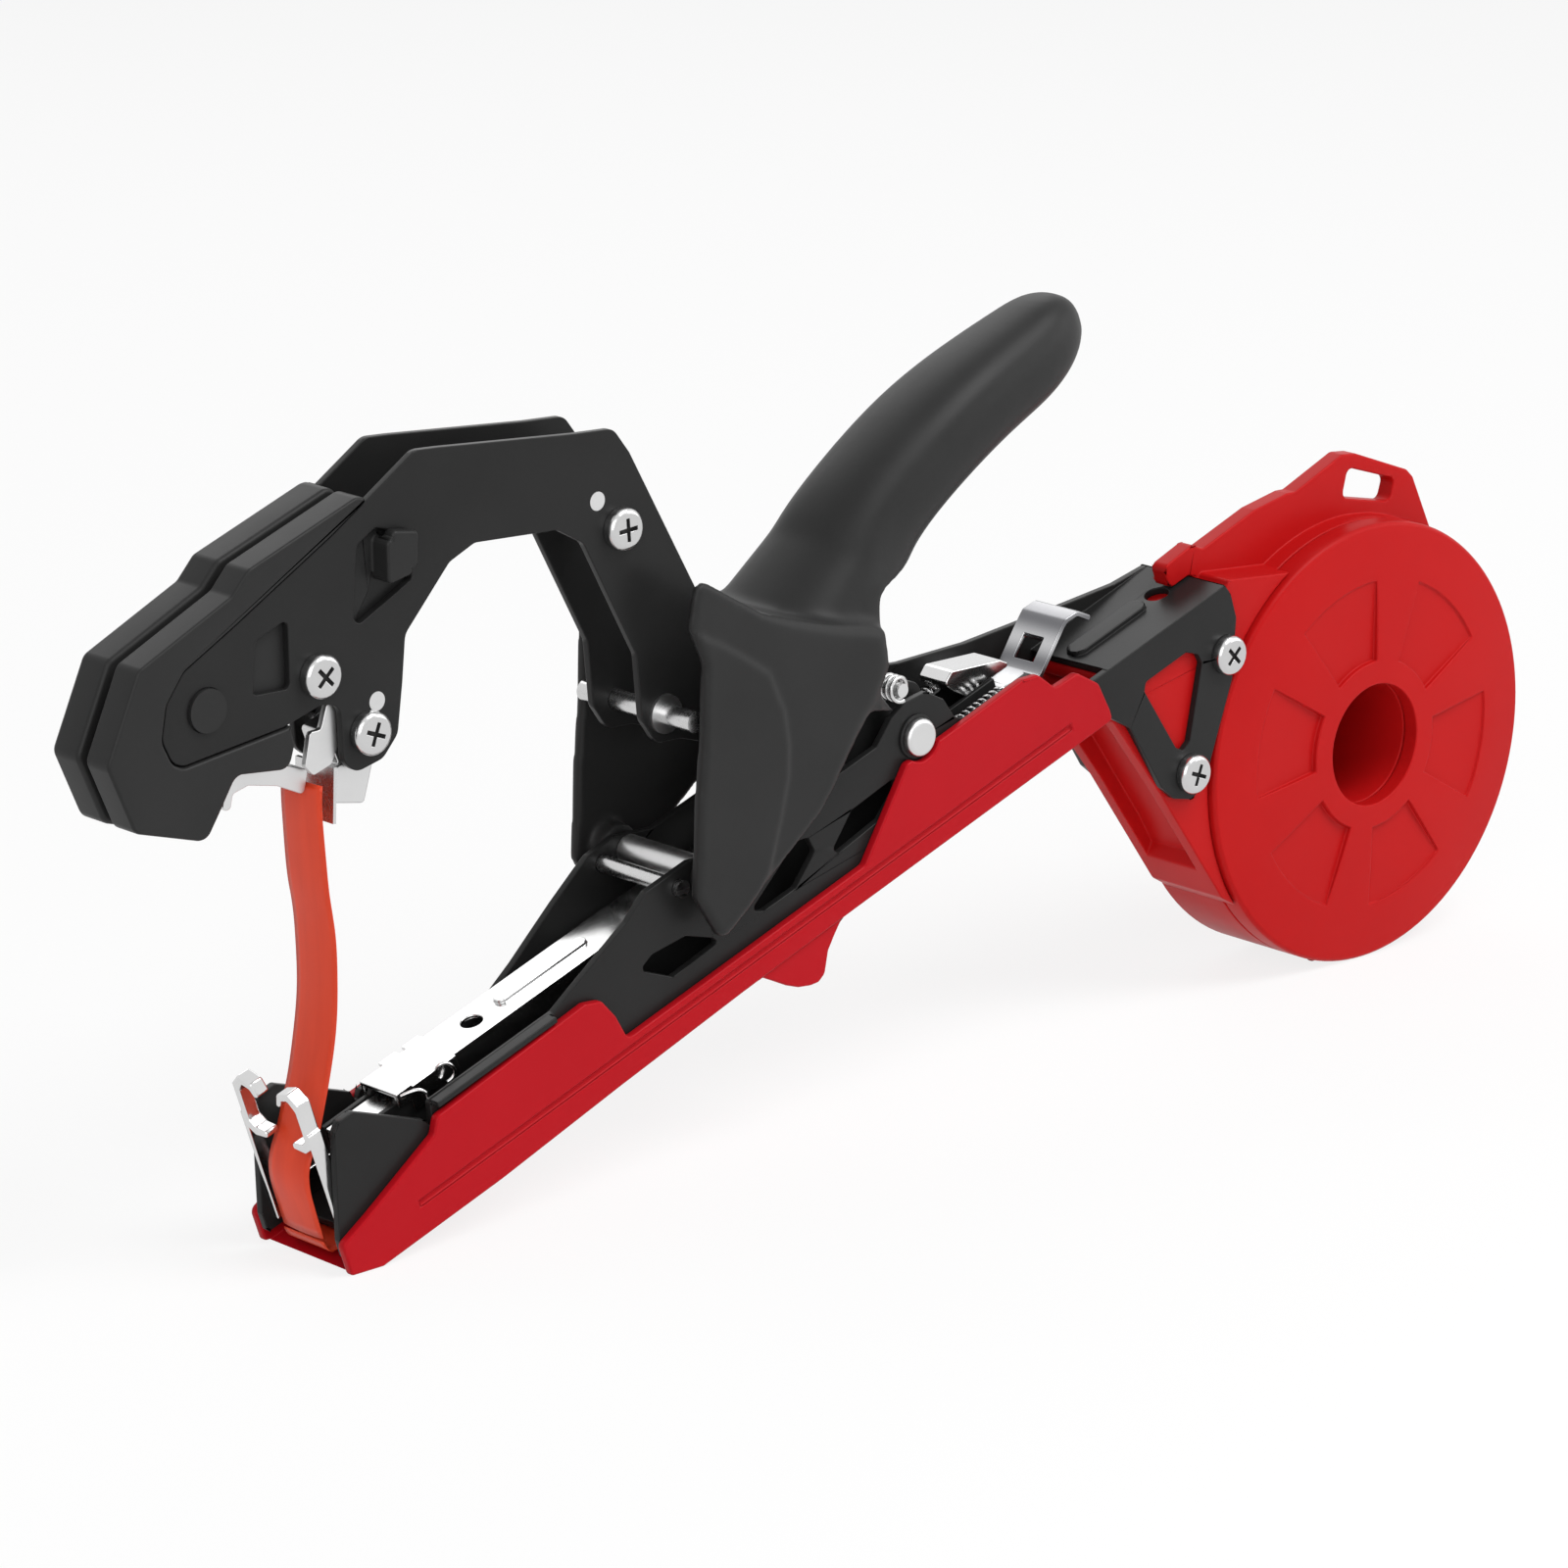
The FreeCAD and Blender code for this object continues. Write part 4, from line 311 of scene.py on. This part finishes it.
def softened(node, edge):
    """A copy of a CAD node whose hard edges are rounded over, in the node's place."""
    mesh = NODES[node].data.copy()
    work = bmesh.new()
    work.from_mesh(mesh)
    bmesh.ops.remove_doubles(work, verts=work.verts, dist=SAME_CORNER)
    if node in HOLED_NODES:
        bmesh.ops.join_triangles(
            work, faces=work.faces, angle_face_threshold=FLAT_ANGLE, angle_shape_threshold=math.pi,
        )
    else:
        bmesh.ops.dissolve_limit(work, angle_limit=FLAT_ANGLE, verts=work.verts, edges=work.edges)
    work.to_mesh(mesh)
    work.free()
    piece = rounded(bpy.data.objects.new(node + "_finished", mesh), edge, NODE_EDGE_TURN, False)
    return finished(piece, BODY_OF[node], SLOT_OF[node], node)


def new_piece(name, corners, faces):
    mesh = bpy.data.meshes.new(name)
    mesh.from_pydata([tuple(corner) for corner in corners], [], faces)
    mesh.validate()
    piece = bpy.data.objects.new(name, mesh)
    bpy.context.scene.collection.objects.link(piece)
    return piece


def settled(piece):
    """Applies every modifier of a piece to its mesh."""
    bpy.context.view_layer.update()
    seen = piece.evaluated_get(bpy.context.evaluated_depsgraph_get())
    mesh = bpy.data.meshes.new_from_object(seen)
    piece.modifiers.clear()
    piece.data = mesh
    return piece


def plate(name, outline, near, far, edge=0.15):
    """A flat piece cut to an outline along and up the body, between two places across it."""
    count = len(outline)
    corners = [placed(along, up, near) for along, up in outline] + [placed(along, up, far) for along, up in outline]
    faces = [tuple(range(count)), tuple(reversed(range(count, 2 * count)))]
    faces += [(i, i + count, (i + 1) % count + count, (i + 1) % count) for i in range(count)]
    piece = new_piece(name, corners, faces)
    work = bmesh.new()
    work.from_mesh(piece.data)
    bmesh.ops.recalc_face_normals(work, faces=work.faces)
    work.to_mesh(piece.data)
    work.free()
    return rounded(piece, edge)


def strip(name, path, sheet, near, far, edge=0.1):
    """A bent strip of sheet that follows a path along and up the body."""
    upper, lower = [], []
    for i, (along, up) in enumerate(path):
        before, after = path[max(i - 1, 0)], path[min(i + 1, len(path) - 1)]
        run = math.hypot(after[0] - before[0], after[1] - before[1])
        side = (-(after[1] - before[1]) / run * sheet / 2, (after[0] - before[0]) / run * sheet / 2)
        upper.append((along + side[0], up + side[1]))
        lower.append((along - side[0], up - side[1]))
    return plate(name, upper + lower[::-1], near, far, edge)


def curve_mesh(name, path, steps, radius=0.0):
    """The mesh of a smooth curve through places along, up and across the body; a bare line without a radius."""
    curve = bpy.data.curves.new(name, "CURVE")
    curve.dimensions = "3D"
    curve.bevel_depth = radius * MM
    curve.bevel_resolution = 3
    curve.use_fill_caps = True
    spline = curve.splines.new("NURBS")
    spline.points.add(len(path) - 1)
    for point, place in zip(spline.points, path):
        point.co = (*placed(*place), 1.0)
    spline.order_u = 3
    spline.use_endpoint_u = True
    spline.resolution_u = steps
    bent = bpy.data.objects.new(name + "_line", curve)
    bpy.context.scene.collection.objects.link(bent)
    bpy.context.view_layer.update()
    mesh = bpy.data.meshes.new_from_object(bent.evaluated_get(bpy.context.evaluated_depsgraph_get()))
    bpy.data.objects.remove(bent)
    return mesh


def wire(name, path, radius):
    """A round wire through places along, up and across the body."""
    mesh = curve_mesh(name, path, 6, radius)
    mesh.name = name
    shaded_smooth(mesh)
    piece = bpy.data.objects.new(name, mesh)
    bpy.context.scene.collection.objects.link(piece)
    return piece


# The handle: one moulding whose grip runs into its wings without an edge
GRIP_ROOT = ((145.0, 50.0), (27.0, 26.0))
# The moulding's own sections where the grip rises out of the wings: middle along and up, turn in
# degrees, half height and half width
ROOT_SECTIONS = [(138.4, 35.6, 56.0, 13.7, 16.6), (136.5, 46.7, 38.0, 14.4, 15.7), (152.6, 56.6, 38.0, 11.0, 13.0)]
ROOT_GAP = 13.4
CAVITY_ROOF = ((124.0, 57.3), (162.0, 53.0))
SECTION_POINTS = 36
SECTION_SQUARENESS = 2.6
# The skin that is drawn over the whole handle, and how far it is evened out
SKIN_CELL = 0.65
ALL_ROUNDS, GRIP_ROUNDS, ROOT_ROUNDS = 5, 60, 22
GRIP_START, GRIP_FADE = 150.0, 10.0
STEADY_BACK = -1.04
WING_PANEL = [
    (105.8, 70.1), (109.8, 66.0), (113.6, 61.4), (118.1, 55.5), (119.0, 47.2), (118.0, 40.7), (115.8, 35.0),
    (111.9, 28.8), (106.1, 20.8), (98.8, 15.7), (93.1, 13.9),
]
WING_FACE = 17.4
PANEL_RISE = 0.55
PANEL_EDGE_WIDTH = 1.8
PANEL_REACH = 1.6


def neighbours_mean(points, edges, degree):
    total = numpy.zeros_like(points)
    numpy.add.at(total, edges[:, 0], points[edges[:, 1]])
    numpy.add.at(total, edges[:, 1], points[edges[:, 0]])
    return total / degree[:, None]


def smoothed(points, edges, degree, weight, rounds, back=STEADY_BACK):
    """Evens out a skin in rounds. The steady step back keeps its size; without a step back it shrinks a little."""
    for _ in range(rounds):
        for step in (1.0, back):
            points = points + (neighbours_mean(points, edges, degree) - points) * weight[:, None] * step
    return points


def panel_side(along, up):
    """Distance in millimetres from the line of the wing's raised panel, positive outside the panel."""
    nearest = numpy.full(len(along), 1e9)
    sign = numpy.ones(len(along))
    for (a, b), (c, d) in zip(WING_PANEL, WING_PANEL[1:]):
        span = numpy.array((c - a, d - b))
        length = span @ span
        share = numpy.clip(((along - a) * span[0] + (up - b) * span[1]) / length, 0.0, 1.0)
        off = numpy.hypot(along - a - share * span[0], up - b - share * span[1])
        turn = numpy.where((along - a) * span[1] - (up - b) * span[0] > 0.0, -1.0, 1.0)
        closer = off < nearest
        nearest[closer] = off[closer]
        sign[closer] = turn[closer]
    return nearest * sign


def section_points(along, up, turn, half_height, half_width):
    points = []
    lean = math.radians(turn)
    for i in range(SECTION_POINTS):
        angle = math.tau * i / SECTION_POINTS
        across, over = math.cos(angle), math.sin(angle)
        reach = (abs(across) ** SECTION_SQUARENESS + abs(over) ** SECTION_SQUARENESS) ** (-1 / SECTION_SQUARENESS)
        over *= reach * half_height
        points.append(placed(along - math.sin(lean) * over, up + math.cos(lean) * over, across * reach * half_width))
    return points


def wrapped(work):
    """Wraps the mesh's corners in their convex hull."""
    made = bmesh.ops.convex_hull(work, input=work.verts)
    left_over = made["geom_interior"] + made["geom_unused"]
    spare = list(dict.fromkeys(item for item in left_over if isinstance(item, bmesh.types.BMVert)))
    bmesh.ops.delete(work, geom=spare, context="VERTS")


def root_block(name, sections, place, away):
    """Solid between two sections, cut off at a plane; the side that the plane faces is dropped."""
    work = bmesh.new()
    for section in sections:
        for point in section_points(*section):
            work.verts.new(point)
    wrapped(work)
    every = work.verts[:] + work.edges[:] + work.faces[:]
    bmesh.ops.bisect_plane(work, geom=every, plane_co=place, plane_no=away, clear_outer=True)
    bmesh.ops.delete(work, geom=work.faces[:], context="FACES_ONLY")
    bmesh.ops.delete(work, geom=work.edges[:], context="EDGES_FACES")
    wrapped(work)
    bmesh.ops.recalc_face_normals(work, faces=work.faces)
    mesh = bpy.data.meshes.new(name)
    work.to_mesh(mesh)
    work.free()
    return mesh


def root_blocks():
    """The shoulders beside the cavity and the saddle over its roof."""
    blocks = []
    for side in (-1, 1):
        place, away = Vector((0.0, side * ROOT_GAP * MM, 0.0)), Vector((0.0, -side, 0.0))
        for i in range(len(ROOT_SECTIONS) - 1):
            blocks.append(root_block(f"shoulder_{side}_{i}", ROOT_SECTIONS[i:i + 2], place, away))
    front, back = (placed(*corner) for corner in CAVITY_ROOF)
    under = Vector((0.0, 1.0, 0.0)).cross(back - front).normalized()
    under = under if under.z < 0.0 else -under
    blocks.append(root_block("saddle", ROOT_SECTIONS[1:], front, under))
    return blocks


def handle_moulding():
    work = bmesh.new()
    work.from_mesh(NODES["handle_grip"].data)
    for block in root_blocks():
        work.from_mesh(block)
        bpy.data.meshes.remove(block)
    mesh = bpy.data.meshes.new("handle_moulding")
    work.to_mesh(mesh)
    work.free()
    piece = bpy.data.objects.new("handle_moulding", mesh)
    bpy.context.scene.collection.objects.link(piece)
    skin = piece.modifiers.new("even_skin", "REMESH")
    skin.mode = "VOXEL"
    skin.voxel_size = SKIN_CELL * MM
    settled(piece)
    mesh = piece.data
    count = len(mesh.vertices)
    flat = numpy.empty(count * 3)
    mesh.vertices.foreach_get("co", flat)
    points = flat.reshape(count, 3)
    ends = numpy.empty(len(mesh.edges) * 2, dtype=numpy.int64)
    mesh.edges.foreach_get("vertices", ends)
    edges = ends.reshape(-1, 2)
    degree = numpy.bincount(edges.ravel(), minlength=count).astype(float)

    lean_c, lean_s = math.cos(BODY_LEAN), math.sin(BODY_LEAN)
    along = (points[:, 0] * lean_c + points[:, 2] * lean_s) / MM + SOLE_MIDDLE[0]
    up = (-points[:, 0] * lean_s + points[:, 2] * lean_c) / MM + SOLE_MIDDLE[1]
    (root_along, root_up), (reach_along, reach_up) = GRIP_ROOT
    spread = ((along - root_along) / reach_along) ** 2 + ((up - root_up) / reach_up) ** 2
    root = numpy.clip(1.3 - spread, 0.0, 1.0) * 0.55
    grip = numpy.clip((along - GRIP_START) / GRIP_FADE, 0.0, 1.0) * 0.5
    points = smoothed(points, edges, degree, numpy.full(count, 0.5), ALL_ROUNDS)
    points = smoothed(points, edges, degree, numpy.maximum(root, grip), GRIP_ROUNDS)
    points = smoothed(points, edges, degree, root, ROOT_ROUNDS, 0.0)

    step = numpy.clip(panel_side(along, up) / PANEL_EDGE_WIDTH + 0.5, 0.0, 1.0)
    step = step * step * (3.0 - 2.0 * step)
    face = numpy.clip(numpy.abs(points[:, 1]) / MM - (WING_FACE - PANEL_REACH), 0.0, 1.0)
    points[:, 1] -= numpy.sign(points[:, 1]) * face * step * PANEL_RISE * MM
    mesh.vertices.foreach_set("co", points.ravel())
    shaded_smooth(mesh)
    mesh.update()
    return finished(piece, "handle", "black_plastic", "handle_grip")


# The tape: soft film that replaces the plain strips
TAPE_HALF_WIDTH = 5.5
FREE_TAPE = [
    (0.60, 5.04), (0.70, 10.0), (0.91, 15.54), (2.24, 19.11), (5.70, 22.68), (8.6, 26.9), (11.54, 31.19),
    (14.8, 36.7), (17.69, 42.53), (19.9, 48.4), (21.75, 54.60), (22.7, 59.2), (23.39, 63.63), (25.3, 71.2),
    (27.44, 78.96), (28.60, 81.3),
]
HIDDEN_TAPE = [(256.01, -4.42), (203.99, 1.3), (102.0, 1.3), (2.8, 1.3), (0.75, 2.2), (0.6, 4.4)]
FILM_SHEET = 0.18
FILM_CURL = 0.35
FILM_RIPPLE = 0.04
FILM_STEPS = 8


def film(name, path, curl):
    """A thin film across the body along a smooth path, its edges curling a little. Gives its length too."""
    middle = [vertex.co.copy() for vertex in curve_mesh(name, path, 5).vertices]
    steps = FILM_STEPS
    corners, faces = [], []
    for i, place in enumerate(middle):
        tangent = (middle[min(i + 1, len(middle) - 1)] - middle[max(i - 1, 0)]).normalized()
        normal = Vector((0.0, 1.0, 0.0)).cross(tangent)
        for k in range(steps + 1):
            across = -1.0 + 2.0 * k / steps
            ripple = FILM_RIPPLE * math.sin(i * 0.45 + across * 2.0) * min(curl * 4.0, 1.0)
            lift = curl * (across * across - 0.4) + ripple
            corners.append(place + Vector((0.0, across * TAPE_HALF_WIDTH * MM, 0.0)) + normal * lift * MM)
    for i in range(len(middle) - 1):
        for k in range(steps):
            a = i * (steps + 1) + k
            faces.append((a, a + 1, a + steps + 2, a + steps + 1))
    piece = new_piece(name, corners, faces)
    shaded_smooth(piece.data)
    thick = piece.modifiers.new("film", "SOLIDIFY")
    thick.thickness = FILM_SHEET * MM
    thick.offset = 0.0
    length = sum((b - a).length for a, b in zip(middle, middle[1:]))
    return piece, length


EDGE_ROUNDING = {
    "frame_channel": 0.22, "bottom_cover": 0.45, "reel_case": 0.35, "reel_lid": 0.3,
    "magazine_rail": 0.15, "magazine_cover": 0.2, "tape_catcher_near": 0.4, "tape_catcher_far": 0.4,
    "arm_plate_near": 0.22, "arm_plate_far": 0.22,
    "head_half_near": 0.55, "head_half_far": 0.9, "clincher_plate": 0.2, "gripper_lever": 0.15,
    "blade_holder": 0.3, "magazine_latch": 0.25, "magazine_lock": 0.3, "arm_screws": 0.15, "reel_screws": 0.15,
    "rivet_collars": 0.15, "arm_pivot_rivet": 0.2,
}

for node, edge in EDGE_ROUNDING.items():
    softened(node, edge)
for node, piece in NODES.items():
    piece.data.materials.clear()
    piece.data.materials.append(FINISHES[SLOT_OF[node]])

handle_moulding()


# The cross recess of a screw, where shade is painted: within this reach of its axis, and this far below its head's
# face
RECESS_REACH, RECESS_LIP, RECESS_DEPTH = 2.3 * MM, 0.18 * MM, 1.4 * MM


def paint_recess_shade(node):
    """Paints shade into the cross recesses in screw heads by giving their faces a dark material."""
    piece = bpy.data.objects[node + "_finished"]
    piece.data.materials.append(RECESS_PAINTED_SHADE)
    work = bmesh.new()
    work.from_mesh(piece.data)
    left = set(work.faces)
    while left:
        group, queue = set(), [left.pop()]
        while queue:
            face = queue.pop()
            group.add(face)
            near = {other for edge in face.edges for other in edge.link_faces} - group
            queue += [other for other in near if other in left]
            left -= near
        corners = [corner.co for face in group for corner in face.verts]
        low = [min(corner[k] for corner in corners) for k in range(3)]
        high = [max(corner[k] for corner in corners) for k in range(3)]
        axis_x, axis_z = (low[0] + high[0]) / 2, (low[2] + high[2]) / 2
        for face in group:
            middle = face.calc_center_median()
            off = math.hypot(middle.x - axis_x, middle.z - axis_z)
            depth = middle.y - low[1]
            if off < RECESS_REACH and RECESS_LIP < depth < RECESS_DEPTH:
                # Painted shade on this recess face
                face.material_index = 1
    work.to_mesh(piece.data)
    work.free()


for node in ("arm_screws", "reel_screws"):
    paint_recess_shade(node)

# The dark cross wall that is seen through the arm's rear window
WINDOW_PANEL = [(42.0, 102.8), (47.5, 119.6), (56.0, 120.2), (62.6, 114.5), (60.0, 103.6)]
for name, near, far in (("arm_window_panel", -5.1, -4.5), ("arm_window_panel_far", 5.5, 6.1)):
    finished(plate(name, WINDOW_PANEL, near, far, 0.1), "arm", "black_steel")

tape, tape_length = film("free_tape", FREE_TAPE, FILM_CURL)
finished(tape, None, "tape", "tape_span")
tuple(placed(3.0, 18.0))
tuple(placed(27.0, 77.0))
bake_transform(tape)
hidden, hidden_length = film("hidden_tape", HIDDEN_TAPE, 0.0)
finished(hidden, "body", "tape", "tape_run")


# The pusher's spring is squeezed between the rail's fixed end and the pusher; here it is a copy of its node's mesh,
# and the places of its ends are given but not used
SPRING_FIXED_END, SPRING_FREE_END = (176.0, 9.2), (71.6, 9.2)
spring = bpy.data.objects.new("magazine_spring", NODES["pusher_spring"].data.copy())
finished(spring, None, "steel", "pusher_spring")
tuple(placed(*SPRING_FIXED_END))
tuple(placed(*SPRING_FREE_END))
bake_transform(spring)


# Small sheet-metal details of the staple magazine; wires by places along, up and across the body
CLIP_OUTLINE = [(27.5, 20.3), (38.0, 20.3), (38.0, 15.6), (33.0, 15.6), (31.8, 17.2), (28.6, 17.6)]
HOOK_PATH = [
    (33.2, 20.2, -5.6), (33.2, 21.2, -6.2), (34.8, 21.3, -6.9), (36.0, 19.4, -7.2), (35.4, 17.6, -7.0),
    (34.0, 17.4, -6.6),
]
SPRING_END_PATH = [
    (24.6, 20.0, -5.6), (26.2, 20.5, -6.9), (27.8, 20.2, -7.8), (28.4, 18.4, -8.3), (27.4, 16.6, -8.4),
]
TAB_STARTS, TAB_LENGTH, TAB_LEVEL = (29.8, 35.4), 4.0, 20.0

for count, start in enumerate(TAB_STARTS):
    flat = [(start, TAB_LEVEL), (start + TAB_LENGTH, TAB_LEVEL)]
    finished(strip(f"magazine_tab_{count}", flat, 0.6, 4.6, 6.4), "body", "chrome")
finished(plate("magazine_side_clip", CLIP_OUTLINE, -5.55, -5.0, 0.12), "body", "chrome")
finished(wire("magazine_hook", HOOK_PATH, 0.35), "body", "chrome")
finished(wire("magazine_spring_end", SPRING_END_PATH, 0.32), "body", "chrome")


# Stage: floor, light and camera
FLOOR_REACH = 3.0
FLOOR_GLOW = 0.82
WORLD_LIGHT = 0.34
WHITE = (1.0, 1.0, 1.0)


def whitened(tree, plain, share, kind):
    """Mixes white light into a shader where the camera or a reflection sees it straight. Gives the mixture."""
    rays = tree.nodes.new("ShaderNodeLightPath")
    seen = rays.outputs["Is Camera Ray"]
    for label in ("Is Glossy Ray", "Is Transmission Ray"):
        either = tree.nodes.new("ShaderNodeMath")
        either.operation = "MAXIMUM"
        tree.links.new(seen, either.inputs[0])
        tree.links.new(rays.outputs[label], either.inputs[1])
        seen = either.outputs[0]
    part = tree.nodes.new("ShaderNodeMath")
    part.operation = "MULTIPLY"
    tree.links.new(seen, part.inputs[0])
    part.inputs[1].default_value = share
    glow = tree.nodes.new(kind)
    glow.inputs["Color"].default_value = (*WHITE, 1.0)
    mixed = tree.nodes.new("ShaderNodeMixShader")
    tree.links.new(part.outputs[0], mixed.inputs[0])
    tree.links.new(plain, mixed.inputs[1])
    tree.links.new(glow.outputs[0], mixed.inputs[2])
    return mixed.outputs[0]


def stage():
    low, _ = CAD_BOX
    corners = [(x * FLOOR_REACH, y * FLOOR_REACH, low.z) for x, y in ((-1, -1), (1, -1), (1, 1), (-1, 1))]
    floor = new_piece("floor", corners, [(0, 1, 2, 3)])
    paper = Finish("white_paper", Roughness=0.9, Specular_IOR_Level=0.0)
    paper.paint(Base_Color=(0.9, 0.9, 0.9))
    surface = whitened(paper.tree, paper.shader.outputs[0], FLOOR_GLOW, "ShaderNodeEmission")
    paper.tree.links.new(surface, paper.tree.nodes["Material Output"].inputs["Surface"])
    floor.data.materials.append(paper.material)

    world = bpy.data.worlds.new("studio")
    bpy.context.scene.world = world
    world.use_nodes = True
    tree = world.node_tree
    plain = tree.nodes["Background"]
    plain.inputs["Color"].default_value = (*WHITE, 1.0)
    plain.inputs["Strength"].default_value = WORLD_LIGHT
    surface = whitened(tree, plain.outputs[0], 1.0, "ShaderNodeBackground")
    tree.links.new(surface, tree.nodes["World Output"].inputs["Surface"])


def lamp(name, place, size, power):
    """A lamp that faces the middle of the tool."""
    data = bpy.data.lights.new(name, "AREA")
    data.shape = "RECTANGLE"
    data.size, data.size_y = size
    data.energy = power
    light = bpy.data.objects.new(name, data)
    light.location = place
    light.rotation_mode = "QUATERNION"
    light.rotation_quaternion = (AIM - place).to_track_quat("-Z", "Y")
    bpy.context.scene.collection.objects.link(light)


def camera():
    back = Vector((
        math.sin(CAMERA_TURN) * math.cos(CAMERA_RISE),
        -math.cos(CAMERA_TURN) * math.cos(CAMERA_RISE),
        math.sin(CAMERA_RISE),
    ))
    data = bpy.data.cameras.new("camera")
    data.sensor_width = CAMERA_SENSOR
    data.lens = CAMERA_LENS
    data.clip_start, data.clip_end = CAMERA_CLIP
    seen = bpy.data.objects.new("camera", data)
    seen.location = AIM + back * CAMERA_DISTANCE
    seen.rotation_mode = "QUATERNION"
    seen.rotation_quaternion = back.to_track_quat("Z", "Y")
    bpy.context.scene.collection.objects.link(seen)
    bpy.context.scene.camera = seen


# Each lamp: its place, the width and height of its pane, and its power in watts
LAMPS = {
    "key_light": (AIM + Vector((0.27, -0.48, 0.83)) * 1.5, (0.8, 0.8), 14.0),
    "top_light": (AIM + Vector((0.34, 0.70, 0.62)) * 1.3, (1.0, 0.6), 2.6),
    "front_light": (Vector((-0.8, -0.8, 0.6)), (0.9, 0.9), 6.0),
    "side_light": (Vector((1.1, -0.7, 0.5)), (0.7, 0.7), 3.0),
}

stage()
for name, (place, size, power) in LAMPS.items():
    lamp(name, place, size, power)
camera()
bpy.context.scene.view_settings.view_transform = "Standard"
